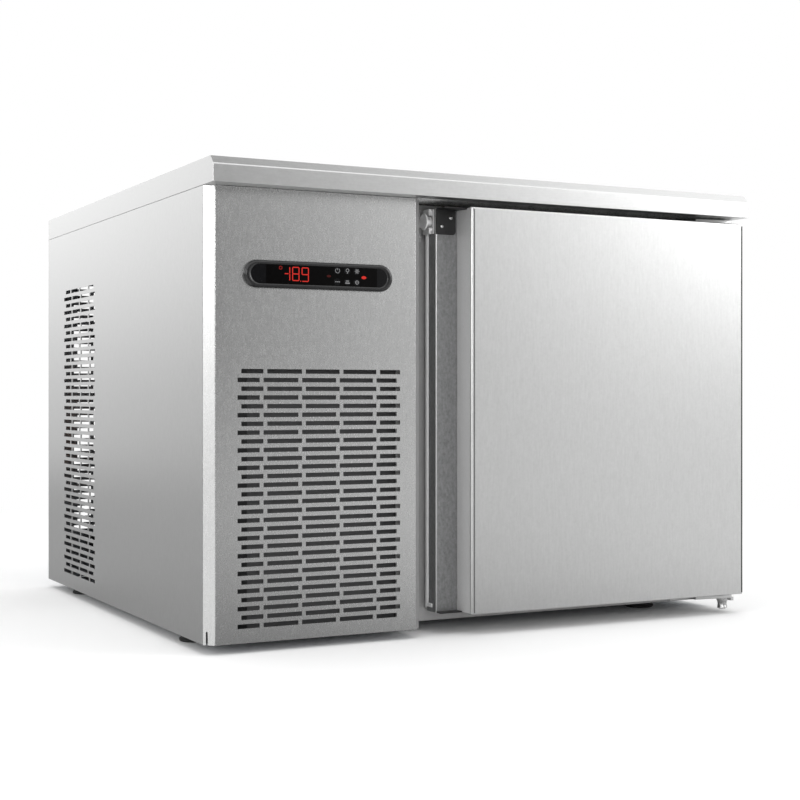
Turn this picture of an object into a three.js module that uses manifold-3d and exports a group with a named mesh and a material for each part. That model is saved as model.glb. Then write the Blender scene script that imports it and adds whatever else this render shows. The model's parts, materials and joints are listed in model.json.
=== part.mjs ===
// Countertop blast chiller: a folded stainless casing with the condensing unit on the left, and an
// insulated cabinet for gastronorm pans on the right, closed by a door that is hinged on its right edge.
// Millimetres. +X is the right-hand side, -Y the front, +Z up. The origin is on the floor, under the
// middle of the footprint.
import * as THREE from "three";
import { mergeGeometries, mergeVertices } from "three/addons/utils/BufferGeometryUtils.js";
import Module from "manifold-3d";

const wasm = await Module();
wasm.setup();

// ---------------------------------------------------------------- driving dimensions
const WIDTH = 790;
const DEPTH = 790;
const HEIGHT = 590;
const SHEET = 1.2; // stainless sheet of the casing
const GAP = 0.3; // between pieces that touch

const FOOT_HEIGHT = 12;
const FOOT_RADIUS = 20.5;
const FEET = {
  front_left: [-366, -247],
  rear_left: [-365, 278],
  front_right: [303, -259],
  rear_right: [303, 278],
};

const WORKTOP_THICKNESS = 32;
const WORKTOP_OVERHANG = 25; // ahead of the service panel
const WORKTOP_CHAMFER = 10;
const WORKTOP_HEM = 22; // sheet turned back under the edge

const CORNER_FOLD = 11; // 45 degree fold of the left front corner
const SERVICE_PANEL_RIGHT = -109;
const SERVICE_PANEL_FOLD = 9; // 45 degree fold of the panel's right edge
const FRAME_SETBACK = 62; // door frame behind the service panel
const FRAME_THICKNESS = 3;
const REAR_INSET = 9; // rear panel ahead of the casing's rear edge

const SLOT_LENGTH = 45;
const SLOT_HEIGHT = 5.4;
const SLOT_WEB = 5;

const CAVITY = { left: -50, right: 335, rear: 330, bottom: 62, top: 498 };
const LINER = 1;

const CONTROLLER = { x: -250.5, z: 454.3, width: 197, height: 33.7, proud: 5.2 };
const KEY_RADIUS = 4.5;
const KEY_X = [-228, -214.6, -201.7];
const KEY_Z = [461.5, 447.8];

const DOOR = { left: -77, right: 391.4, bottom: 27, top: 550, front: -385, rear: -320 };
const GRIP = { right: -46, strip: -346, lip: 2.3, undercut: 3 };
const GASKET = { left: -76, right: 380, bottom: 30, top: 544, width: 18, rear: -309 };
const HINGE = { x: 376, y: -360, pinRadius: 4 };
const LATCH = { z: 533, y: -333, headRadius: 10.3, shankRadius: 6.5 };

const PAN_LEVELS = 5;
const PAN_PITCH = 70;
const PAN_WIDTH = 325; // gastronorm 1/1

const EVAPORATOR_FAN = { x: 142.5, y: 214, z: 290, radius: 98 };
const CONDENSER_FAN = { x: -250, y: -284, z: 184, radius: 108 };

// ---------------------------------------------------------------- planes that follow from them
const LEFT = -WIDTH / 2;
const RIGHT = WIDTH / 2;
const FRONT = -DEPTH / 2;
const REAR = DEPTH / 2;
const BODY_BOTTOM = FOOT_HEIGHT;
const BODY_TOP = HEIGHT - WORKTOP_THICKNESS;
const PANEL_Y = FRONT + WORKTOP_OVERHANG;
const FRAME_Y = PANEL_Y + FRAME_SETBACK;
const REAR_PANEL_Y = REAR - REAR_INSET;
const INSIDE = { left: LEFT + SHEET + GAP, right: RIGHT - SHEET - GAP };
const CABINET_LEFT = SERVICE_PANEL_RIGHT + SHEET + GAP;
const FRAME_BACK = FRAME_Y + FRAME_THICKNESS;
const FLOOR_TOP = BODY_BOTTOM + SHEET + GAP;
const CEILING = BODY_TOP - GAP;

// ---------------------------------------------------------------- materials
const finish = (color, roughness, metalness) =>
  new THREE.MeshStandardMaterial({ color, roughness, metalness });
const stainless = () => finish(0xb9bab9, 0.38, 1);
const galvanised = () => finish(0xa4a8aa, 0.5, 1);
const aluminium = () => finish(0xc4c7c9, 0.4, 1);
const copper = () => finish(0xb87350, 0.35, 1);
const blackSteel = () => finish(0x151515, 0.45, 0.3);
const blackPlastic = () => finish(0x1d1d1e, 0.45, 0);
const foamYellow = () => finish(0xd9cfa4, 0.9, 0);
const rubber = () => finish(0x101010, 0.8, 0);
const gasketGrey = () => finish(0xa9abac, 0.6, 0);

// ---------------------------------------------------------------- shapes
function box(x0, x1, y0, y1, z0, z1) {
  const shape = new THREE.BoxGeometry(x1 - x0, y1 - y0, z1 - z0);
  return shape.translate((x0 + x1) / 2, (y0 + y1) / 2, (z0 + z1) / 2);
}

const AXES = {
  x: [new THREE.Vector3(0, 1, 0), new THREE.Vector3(0, 0, 1), new THREE.Vector3(1, 0, 0)],
  y: [new THREE.Vector3(1, 0, 0), new THREE.Vector3(0, 0, 1), new THREE.Vector3(0, -1, 0)],
  z: [new THREE.Vector3(1, 0, 0), new THREE.Vector3(0, 1, 0), new THREE.Vector3(0, 0, 1)],
};

// An outline in the plane square to an axis, (y, z), (x, z) or (x, y), made solid between two planes.
function prism(axis, outline, from, to, holes = []) {
  const points = (list) => list.map(([a, b]) => new THREE.Vector2(a, b));
  const shape = new THREE.Shape(points(outline));
  shape.holes = holes.map((hole) => new THREE.Path(points(hole)));
  const solid = new THREE.ExtrudeGeometry(shape, { depth: to - from, bevelEnabled: false });
  solid.applyMatrix4(new THREE.Matrix4().makeBasis(...AXES[axis]));
  const start = axis === "y" ? -to : from;
  return solid.translate(...AXES[axis][2].clone().multiplyScalar(start).toArray());
}

const rectangle = (a0, a1, b0, b1) => [[a0, b0], [a1, b0], [a1, b1], [a0, b1]];

function circle(a, b, radius, sides = 24) {
  return Array.from({ length: sides }, (_, i) => {
    const turn = (2 * Math.PI * i) / sides;
    return [a + radius * Math.cos(turn), b + radius * Math.sin(turn)];
  });
}

// A rectangle with its corners rounded; with radius = height / 2 it is an outline with round ends.
function rounded(a0, a1, b0, b1, radius, steps = 5) {
  const corners = [
    [a1 - radius, b1 - radius],
    [a0 + radius, b1 - radius],
    [a0 + radius, b0 + radius],
    [a1 - radius, b0 + radius],
  ];
  return corners.flatMap(([a, b], corner) =>
    Array.from({ length: steps + 1 }, (_, i) => {
      const turn = (Math.PI / 2) * (corner + i / steps);
      return [a + radius * Math.cos(turn), b + radius * Math.sin(turn)];
    }),
  );
}

// The section of a folded sheet: the outer line and its copy set in by the thickness, to the line's right.
function folded(line, thickness) {
  const normals = line.slice(1).map(([x, y], i) => {
    const [dx, dy] = [x - line[i][0], y - line[i][1]];
    const length = Math.hypot(dx, dy);
    return [dy / length, -dx / length];
  });
  const inner = line.map(([x, y], i) => {
    const [ax, ay] = normals[Math.max(i - 1, 0)];
    const [bx, by] = normals[Math.min(i, normals.length - 1)];
    const scale = thickness / (1 + ax * bx + ay * by);
    return [x + (ax + bx) * scale, y + (ay + by) * scale];
  });
  return [...line, ...inner.reverse()];
}

// A turned piece: (radius, position) pairs about the named axis, through the origin.
function turned(axis, profile, sides = 24) {
  const points = profile.map(([radius, along]) => new THREE.Vector2(radius, along));
  const solid = new THREE.LatheGeometry(points, sides);
  if (axis === "x") solid.rotateZ(-Math.PI / 2);
  if (axis === "z") solid.rotateX(Math.PI / 2);
  return solid;
}

const rod = (axis, radius, from, to, sides = 16) =>
  turned(axis, [[0, from], [radius, from], [radius, to], [0, to]], sides);

// A pipe of round section bent along a chain of points.
function pipe(points, radius, steps) {
  const curve = new THREE.CatmullRomCurve3(
    points.map((p) => new THREE.Vector3(...p)),
    false,
    "catmullrom",
    0.35,
  );
  const section = new THREE.Shape(circle(0, 0, radius, 8).map(([a, b]) => new THREE.Vector2(a, b)));
  return new THREE.ExtrudeGeometry(section, { steps, extrudePath: curve, bevelEnabled: false });
}

// ---------------------------------------------------------------- joining and cutting
function toSolid(geometry) {
  const bare = new THREE.BufferGeometry();
  bare.setAttribute("position", geometry.getAttribute("position"));
  bare.setIndex(geometry.index);
  const merged = mergeVertices(bare, 1e-4);
  const corners = merged.index.array;
  const kept = [];
  for (let i = 0; i < corners.length; i += 3) {
    const [a, b, c] = corners.subarray(i, i + 3);
    if (a !== b && b !== c && c !== a) kept.push(a, b, c);
  }
  return new wasm.Manifold(
    new wasm.Mesh({
      numProp: 3,
      vertProperties: merged.getAttribute("position").array,
      triVerts: new Uint32Array(kept),
    }),
  );
}

function toGeometry(solid) {
  const mesh = solid.getMesh();
  return new THREE.BufferGeometry()
    .setAttribute("position", new THREE.BufferAttribute(mesh.vertProperties, 3))
    .setIndex(new THREE.BufferAttribute(mesh.triVerts, 1));
}

const join = (...pieces) =>
  toGeometry(pieces.map(toSolid).reduce((whole, piece) => whole.add(piece)));

const cut = (blank, ...tools) =>
  toGeometry(tools.map(toSolid).reduce((rest, tool) => rest.subtract(tool), toSolid(blank)));

// ---------------------------------------------------------------- scene graph
const chiller = new THREE.Group();
const groups = {};
for (const name of ["casing", "cabinet", "condensing_unit", "controls", "hinges", "door"]) {
  groups[name] = new THREE.Group();
  chiller.add(groups[name]);
}

function part(group, name, geometry, material, position = [0, 0, 0]) {
  geometry.deleteAttribute("normal");
  const mesh = new THREE.Mesh(geometry, material);
  mesh.name = name;
  mesh.position.set(...position);
  geometry.computeVertexNormals();
  groups[group].add(mesh);
  return mesh;
}

// ---------------------------------------------------------------- ventilation slots
// Rows of slots from the top down; odd and even rows start and end at different places.
function slotRows(rows, pitch, top, odd, even) {
  const slots = [];
  for (let row = 0; row < rows; row++) {
    const z = top - row * pitch;
    let [start, ...lengths] = row % 2 ? even : odd;
    for (const length of lengths) {
      slots.push([start, start + length, z - SLOT_HEIGHT / 2, z + SLOT_HEIGHT / 2]);
      start += length + SLOT_WEB;
    }
  }
  return slots;
}

const FRONT_SLOTS = slotRows(
  30,
  10.52,
  337.3,
  [-351, 28, SLOT_LENGTH, SLOT_LENGTH, SLOT_LENGTH, 28],
  [-355.8, 28, SLOT_LENGTH, SLOT_LENGTH, SLOT_LENGTH, 28],
);
const SIDE_SLOTS = slotRows(
  42,
  10.5,
  466.9,
  [125.6, 26.4, SLOT_LENGTH, SLOT_LENGTH, 27],
  [117.4, 27, SLOT_LENGTH, SLOT_LENGTH, SLOT_LENGTH],
);
const REAR_SLOTS = slotRows(
  38,
  10.5,
  482.4,
  [-350.8, 28, SLOT_LENGTH, SLOT_LENGTH, SLOT_LENGTH, 28],
  [-356.6, 27.6, SLOT_LENGTH, SLOT_LENGTH, SLOT_LENGTH, 28],
);

// ---------------------------------------------------------------- casing
function worktop() {
  const section = (inset) => [
    [FRONT + inset, BODY_TOP + inset],
    [FRONT + inset, HEIGHT - WORKTOP_CHAMFER - inset * 0.41],
    [FRONT + WORKTOP_CHAMFER + inset * 0.41, HEIGHT - inset],
    [REAR - inset, HEIGHT - inset],
    [REAR - inset, BODY_TOP + inset],
  ];
  const skin = prism("x", section(0), LEFT, RIGHT);
  const hollow = prism("x", section(SHEET), LEFT + SHEET, RIGHT - SHEET);
  const under = box(
    LEFT + WORKTOP_HEM,
    RIGHT - WORKTOP_HEM,
    FRONT + WORKTOP_HEM,
    REAR - WORKTOP_HEM,
    BODY_TOP - 1,
    BODY_TOP + SHEET + 1,
  );
  part("casing", "worktop", cut(skin, hollow, under), stainless());
  const inset = SHEET + GAP;
  const core = prism("x", section(inset), LEFT + inset, RIGHT - inset);
  part("casing", "worktop_core", core, finish(0xb08a5a, 0.8, 0));
}

function sidePanels() {
  const seam = PANEL_Y + CORNER_FOLD + SHEET + 1.5 * GAP;
  const left = box(LEFT, LEFT + SHEET, seam, REAR, BODY_BOTTOM, CEILING);
  const slots = SIDE_SLOTS.map(([y0, y1, z0, z1]) => box(LEFT - 1, LEFT + 2, y0, y1, z0, z1));
  part("casing", "left_side_panel", cut(left, mergeGeometries(slots)), stainless());
  const right = box(RIGHT - SHEET, RIGHT, FRAME_Y, REAR, BODY_BOTTOM, CEILING);
  part("casing", "right_side_panel", right, stainless());
}

const GLAND = { x: -330, z: 70, thread: 8, nut: 12 };

function rearPanel() {
  const [inner, outer] = [REAR_PANEL_Y - SHEET, REAR_PANEL_Y];
  const blank = box(INSIDE.left, INSIDE.right, inner, outer, FLOOR_TOP, CEILING);
  const slots = REAR_SLOTS.map(([x0, x1, z0, z1]) => box(x0, x1, inner - 1, outer + 1, z0, z1));
  const hole = rod("y", GLAND.thread + GAP, inner - 1, outer + 1, 24).translate(GLAND.x, 0, GLAND.z);
  part("casing", "rear_panel", cut(blank, mergeGeometries(slots), hole), galvanised());
  const gland = turned(
    "y",
    [
      [0, -14],
      [GLAND.thread, -14],
      [GLAND.thread, GAP],
      [GLAND.nut, GAP],
      [GLAND.nut, 5],
      [7, 8],
      [3.5, 8],
      [3.5, 2],
      [0, 2],
    ],
    16,
  );
  part("casing", "cable_gland", gland, blackPlastic(), [GLAND.x, REAR_PANEL_Y, GLAND.z]);
}

function basePan() {
  const inside = PANEL_Y + SHEET + GAP;
  const outline = [
    [INSIDE.left, PANEL_Y + 2 * CORNER_FOLD],
    [LEFT + 1.6 * CORNER_FOLD, inside],
    [SERVICE_PANEL_RIGHT - SERVICE_PANEL_FOLD - 2, inside],
    [SERVICE_PANEL_RIGHT - SHEET - GAP, PANEL_Y + SERVICE_PANEL_FOLD + 2],
    [SERVICE_PANEL_RIGHT - SHEET - GAP, FRAME_BACK + GAP],
    [INSIDE.right, FRAME_BACK + GAP],
    [INSIDE.right, REAR_PANEL_Y],
    [INSIDE.left, REAR_PANEL_Y],
  ];
  const pan = prism("z", outline, BODY_BOTTOM, BODY_BOTTOM + SHEET);
  part("casing", "base_pan", pan, galvanised());
}

function servicePanel() {
  const line = [
    [SERVICE_PANEL_RIGHT, FRAME_Y - GAP],
    [SERVICE_PANEL_RIGHT, PANEL_Y + SERVICE_PANEL_FOLD],
    [SERVICE_PANEL_RIGHT - SERVICE_PANEL_FOLD, PANEL_Y],
    [LEFT + CORNER_FOLD, PANEL_Y],
    [LEFT, PANEL_Y + CORNER_FOLD],
    [LEFT + 5, PANEL_Y + CORNER_FOLD + 5],
  ];
  const blank = prism("z", folded(line, SHEET), BODY_BOTTOM, CEILING);
  const slots = FRONT_SLOTS.map(([x0, x1, z0, z1]) => box(x0, x1, PANEL_Y - 1, PANEL_Y + 2, z0, z1));
  const { x, z, width, height } = CONTROLLER;
  const [halfWidth, halfHeight] = [width / 2 - 5, height / 2 - 4];
  const aperture = rounded(x - halfWidth, x + halfWidth, z - halfHeight, z + halfHeight, halfHeight);
  const reliefX = LEFT + 0.32 * CORNER_FOLD;
  const relief = box(reliefX - 0.8, reliefX + 0.8, PANEL_Y - 1, PANEL_Y + CORNER_FOLD, 0, BODY_BOTTOM + 16);
  const panel = cut(blank, mergeGeometries(slots), prism("y", aperture, PANEL_Y - 1, PANEL_Y + 2), relief);
  part("casing", "front_service_panel", panel, stainless());
}

function dividerPanel() {
  const sheet = box(
    SERVICE_PANEL_RIGHT,
    SERVICE_PANEL_RIGHT + SHEET,
    FRAME_Y,
    REAR_PANEL_Y - SHEET - GAP,
    FLOOR_TOP,
    CEILING,
  );
  part("casing", "divider_panel", sheet, galvanised());
}

function feet() {
  const edge = 2.5;
  const top = FOOT_HEIGHT - GAP;
  const corner = Array.from({ length: 4 }, (_, i) => {
    const turn = (Math.PI / 2) * (i / 3);
    return [FOOT_RADIUS - edge + edge * Math.sin(turn), edge - edge * Math.cos(turn)];
  });
  const profile = [[0, 0], ...corner, [FOOT_RADIUS, top], [0, top]];
  for (const [place, [x, y]] of Object.entries(FEET))
    part("casing", `foot_${place}`, turned("z", profile), rubber(), [x, y, 0]);
}

// ---------------------------------------------------------------- insulated cabinet
function cabinetShell() {
  const { left, right, rear, bottom, top } = CAVITY;
  const backing = REAR_PANEL_Y - SHEET - GAP;
  const front = FRAME_BACK + GAP;
  const pocket = LINER + GAP;
  const block = box(CABINET_LEFT, INSIDE.right, front, backing, FLOOR_TOP, CEILING);
  const hollow = box(
    left - pocket,
    right + pocket,
    front - 1,
    rear + pocket,
    bottom - pocket,
    top + pocket,
  );
  part("cabinet", "cabinet_foam", cut(block, hollow), foamYellow());

  const outer = rounded(left - LINER, right + LINER, bottom - LINER, top + LINER, 9, 4);
  const inner = rounded(left, right, bottom, top, 8, 4);
  const liner = cut(prism("y", outer, front, rear + LINER), prism("y", inner, front - 1, rear));
  part("cabinet", "inner_liner", liner, stainless());

  const rim = rectangle(CABINET_LEFT, INSIDE.right, BODY_BOTTOM, CEILING);
  part("cabinet", "door_frame", prism("y", rim, FRAME_Y, FRAME_BACK, [inner]), stainless());
}

// Pan runners: two channel uprights on each wall carry an angle for every level.
function trayRacks() {
  const middle = (CAVITY.left + CAVITY.right) / 2;
  const guide = PAN_WIDTH / 2 + 2; // from the middle to a runner's upright leg
  const wall = CAVITY.right - middle - GAP;
  const bottom = CAVITY.bottom + 12;
  const lowest = CAVITY.bottom + 48;
  const thickness = 1.5;
  const [nearEnd, farEnd] = [-290, 196];
  const uprights = [-230, 130];
  const top = lowest + (PAN_LEVELS - 1) * PAN_PITCH + 40;
  for (const [name, side] of [["tray_rack_left", -1], ["tray_rack_right", 1]]) {
    const span = (a, b) => [middle + side * a, middle + side * b].sort((p, q) => p - q);
    const pieces = uprights.map((y) => {
      const web = box(...span(guide + thickness, guide + 2 * thickness), y, y + 24, bottom, top);
      const legs = [y, y + 24 - thickness].map((start) =>
        box(...span(guide + thickness, wall), start, start + thickness, bottom, top),
      );
      return join(web, ...legs);
    });
    for (let level = 0; level < PAN_LEVELS; level++) {
      const z = lowest + level * PAN_PITCH;
      pieces.push(box(...span(guide, guide + thickness + 0.2), nearEnd, farEnd, z, z + 20));
      pieces.push(box(...span(guide - 12, guide + thickness), nearEnd, farEnd, z, z + thickness));
    }
    part("cabinet", name, join(...pieces), stainless());
  }
}

// A finned block: vertical fins that stand out of a core, seen from above as a comb.
function finBlock(left, right, front, core, rear, fins) {
  const pitch = (right - left) / fins;
  const comb = [];
  for (let fin = 0; fin < fins; fin++) {
    const x = left + fin * pitch;
    comb.push([x, front], [x + pitch * 0.4, front], [x + pitch * 0.4, core], [x + pitch, core]);
  }
  comb[comb.length - 1] = [right - pitch * 0.6, core];
  comb.push([right - pitch * 0.6, rear], [left, rear]);
  return comb;
}

// Hub and pitched blades about the Y axis.
function fanBlades(radius, hubRadius, count, chord, pitch) {
  const depth = chord * Math.sin(pitch);
  const hub = rod("y", hubRadius, -depth / 2, depth / 2, 24);
  const blades = Array.from({ length: count }, (_, i) => {
    const outline = [
      [hubRadius - 4, -chord * 0.32],
      [radius * 0.7, -chord * 0.5],
      [radius * 0.94, -chord * 0.45],
      [radius, -chord * 0.1],
      [radius * 0.94, chord * 0.45],
      [radius * 0.65, chord * 0.5],
      [hubRadius - 4, chord * 0.3],
    ];
    const blade = prism("y", outline, -1, 1);
    return blade.rotateX(pitch).rotateY((2 * Math.PI * i) / count);
  });
  return join(hub, ...blades);
}

// Motor body, its shaft side facing -Y, with four arms whose feet stand on a sheet at the given plane.
function fanMotor(radius, length, reach, sheetY) {
  const body = turned("y", [
    [0, 0],
    [radius * 0.7, 0],
    [radius, 6],
    [radius, length - 4],
    [radius * 0.8, length],
    [0, length],
  ]);
  const arms = [0, 1, 2, 3].map((i) => {
    const arm = join(box(radius * 0.6, reach, 8, 11, -6, 6), box(reach - 4, reach, sheetY, 11, -6, 6));
    return arm.rotateY((Math.PI / 2) * (i + 0.5));
  });
  return join(body, ...arms);
}

function evaporator() {
  const { left, right, rear, bottom, top } = CAVITY;
  const comb = finBlock(left + 12, right - 12, 262, 296, rear - 3, 26);
  const coil = prism("z", comb, bottom + 22 + GAP, top - 40);
  part("cabinet", "evaporator_coil", coil, aluminium());

  const tray = cut(
    box(left + 12, right - 12, 250, rear - 2, bottom + GAP, bottom + 22),
    box(left + 14, right - 14, 252, rear - 4, bottom + 2, bottom + 23),
  );
  part("cabinet", "drip_tray", tray, stainless());

  const fan = EVAPORATOR_FAN;
  const baffle = prism(
    "y",
    rectangle(left + GAP, right - GAP, bottom + 24, top - 10),
    fan.y,
    fan.y + SHEET,
    [circle(fan.x, fan.z, fan.radius + 6, 32)],
  );
  part("cabinet", "evaporator_fan_panel", baffle, stainless());

  const wire = 1.5;
  const rings = [30, 68, 108].map((radius) =>
    turned("y", [
      [radius - wire, -wire],
      [radius + wire, -wire],
      [radius + wire, wire],
      [radius - wire, wire],
      [radius - wire, -wire],
    ]),
  );
  const spokes = [0, 1, 2].map((i) => {
    const bar = box(-108, 108, -wire * 0.9, wire * 0.9, -wire * 0.9, wire * 0.9);
    return bar.rotateY((Math.PI / 3) * (i + 0.5));
  });
  const guardY = fan.y - 8;
  const legs = [0, 1, 2, 3].map((i) => {
    const leg = box(108 - wire, 108 + wire, 0, 8 - GAP, -wire, wire);
    return leg.rotateY((Math.PI / 2) * (i + 0.5));
  });
  const guard = join(...rings, ...spokes, ...legs);
  part("cabinet", "evaporator_fan_guard", guard, stainless(), [fan.x, guardY, fan.z]);

  const blades = fanBlades(fan.radius, 26, 5, 46, 0.42);
  part("cabinet", "evaporator_fan_blades", blades, blackPlastic(), [fan.x, fan.y + 5, fan.z]);
  const motorY = fan.y + 17;
  const motor = fanMotor(30, 26, 112, fan.y + SHEET + GAP - motorY);
  part("cabinet", "evaporator_fan_motor", motor, blackSteel(), [fan.x, motorY, fan.z]);
}

// ---------------------------------------------------------------- condensing unit
const COIL = { left: -372, right: -128, bottom: FLOOR_TOP, top: 346, front: -350, core: -326, rear: -314 };

function condenser() {
  const fan = CONDENSER_FAN;
  const { left, right, bottom, top, front, core, rear } = COIL;
  const coil = prism("z", finBlock(left, right, front, core, rear, 30), bottom, top);
  part("condensing_unit", "condenser_coil", coil, aluminium());

  const start = rear + GAP;
  const shroudRear = fan.y - 10;
  const shroud = cut(
    box(left, right, start, shroudRear, FLOOR_TOP, top),
    box(left + 2, right - 2, start - 1, shroudRear - 2, FLOOR_TOP + 2, top - 2),
    rod("y", fan.radius + 5, -40, 40, 32).translate(fan.x, fan.y, fan.z),
  );
  part("condensing_unit", "condenser_shroud", shroud, galvanised());

  const blades = fanBlades(fan.radius, 28, 5, 54, 0.45);
  part("condensing_unit", "condenser_fan_blades", blades, aluminium(), [fan.x, fan.y, fan.z]);
  const motorY = fan.y + 16;
  const motor = fanMotor(36, 44, 119, shroudRear + GAP - motorY);
  part("condensing_unit", "condenser_fan_motor", motor, blackSteel(), [fan.x, motorY, fan.z]);
}

const COMPRESSOR = { x: -262, y: 0, radius: 82, bottom: 40, top: 232 };

function compressor() {
  const { x, y, radius, bottom, top } = COMPRESSOR;
  const dome = Array.from({ length: 5 }, (_, i) => {
    const turn = (Math.PI / 2) * (i / 4);
    return [radius * Math.cos(turn), top - 38 + 38 * Math.sin(turn)];
  });
  const bowl = Array.from({ length: 4 }, (_, i) => {
    const turn = (Math.PI / 2) * (1 - i / 4);
    return [radius * Math.cos(turn), bottom + 26 - 26 * Math.sin(turn)];
  });
  dome[dome.length - 1][0] = 0;
  bowl[0][0] = 0;
  const shell = turned("z", [...bowl, ...dome]);
  const seam = rod("z", radius + 3, 146, 150, 24);
  part("condensing_unit", "compressor", join(shell, seam), blackSteel(), [x, y, 0]);

  const grommet = (dx, dy) => rod("z", 14, FLOOR_TOP, 34, 12).translate(dx, dy, 0);
  const plate = box(-96, 96, -86, 86, 30, bottom - GAP);
  const [footX, footY] = [78, 68];
  const base = join(
    plate,
    grommet(-footX, -footY),
    grommet(footX, -footY),
    grommet(-footX, footY),
    grommet(footX, footY),
  );
  part("condensing_unit", "compressor_base", base, blackSteel(), [x, y, 0]);

  const cover = box(-26, 26, -radius - 34, -radius - GAP, 78, 132);
  part("condensing_unit", "compressor_terminal_cover", cover, blackPlastic(), [x, y, 0]);
}

function receiverAndPipes() {
  const receiver = turned("z", [[0, 0], [30, 2], [40, 12], [40, 138], [30, 148], [0, 150]]);
  part("condensing_unit", "liquid_receiver", receiver, blackSteel(), [-334, 190, FLOOR_TOP]);
  const drier = turned(
    "z",
    [
      [0, 0],
      [4, 0],
      [4, 30],
      [15, 42],
      [15, 118],
      [5, 130],
      [5, 140],
      [0, 140],
    ],
    16,
  );
  part("condensing_unit", "filter_drier", drier, copper(), [-334, 190, FLOOR_TOP + 150 + GAP]);

  const { x, y, radius, top } = COMPRESSOR;
  const discharge = pipe(
    [
      [x + 30, y, top + 1],
      [x + 30, y, 300],
      [x + 34, y - 30, 372],
      [x + 60, -180, 392],
      [-196, -290, 392],
      [-178, -320, 378],
      [-178, -320, COIL.top + GAP],
    ],
    4,
    22,
  );
  part("condensing_unit", "discharge_line", discharge, copper());
  const suction = pipe(
    [
      [x + radius + 1, y, 96],
      [x + radius + 22, y, 97],
      [x + radius + 36, y + 14, 120],
      [x + radius + 34, y + 120, 330],
      [-136, 200, 400],
      [-126, 214, 404],
      [SERVICE_PANEL_RIGHT - GAP, 214, 404],
    ],
    6,
    22,
  );
  part("condensing_unit", "suction_line", suction, copper());
  const liquid = pipe(
    [
      [-334, 190, FLOOR_TOP + 290 + 2 * GAP],
      [-334, 192, 340],
      [-318, 206, 366],
      [-220, 236, 372],
      [-136, 240, 372],
      [SERVICE_PANEL_RIGHT - GAP, 240, 372],
    ],
    3,
    18,
  );
  part("condensing_unit", "liquid_line", liquid, copper());
}

function electricalBox() {
  const [right, left] = [SERVICE_PANEL_RIGHT - GAP, SERVICE_PANEL_RIGHT - 62];
  const shell = box(left, right, -190, 30, 392 + 24, 540);
  const lid = box(left - 2, left + 2, -194, 34, 412, 544);
  part("condensing_unit", "electrical_box", join(shell, lid), galvanised());
}

// ---------------------------------------------------------------- control panel
function controller() {
  const { x, z, width, height, proud } = CONTROLLER;
  const stadium = (inset) =>
    rounded(
      -width / 2 + inset,
      width / 2 - inset,
      -height / 2 + inset,
      height / 2 - inset,
      height / 2 - inset,
    );
  const rim = [
    [0, 2],
    [0.8, 3.6],
    [2.4, proud],
  ];
  const back = -GAP;
  const layers = rim.map(([inset, out], i) =>
    prism("y", stadium(inset), -out, i ? -rim[i - 1][1] + 0.01 : back),
  );
  const pocket = prism("y", stadium(5), -proud - 1, -proud + 2.2);
  const spigot = prism("y", stadium(6.5), -1, 8);
  const hollow = prism("y", stadium(8), -2, 9);
  const keyHoles = KEY_X.flatMap((keyX) =>
    KEY_Z.map((keyZ) => rod("y", KEY_RADIUS + GAP, -proud - 1, -0.9).translate(keyX - x, 0, keyZ - z)),
  );
  const bezel = cut(join(...layers, spigot), pocket, hollow, ...keyHoles);
  part("controls", "controller_bezel", bezel, blackPlastic(), [x, PANEL_Y, z]);

  const window = cut(prism("y", stadium(5 + GAP), -proud + 0.5, -proud + 2.2 - GAP), ...keyHoles);
  part("controls", "controller_window", window, finish(0x050505, 0.08, 0), [x, PANEL_Y, z]);

  const housing = box(-80, 80, 8 + GAP, 52, -11, 11);
  part("controls", "controller_housing", housing, blackPlastic(), [x, PANEL_Y, z]);

  const names = [["key_power", "key_aux"], ["key_lamp", "key_defrost"], ["key_chill", "key_set"]];
  for (const [i, keyX] of KEY_X.entries())
    for (const [j, keyZ] of KEY_Z.entries()) {
      const key = rod("y", KEY_RADIUS, -proud + 0.4, -1.7);
      part("controls", names[i][j], key, finish(0x0a0a0a, 0.15, 0), [keyX, PANEL_Y, keyZ]);
    }
}

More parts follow.
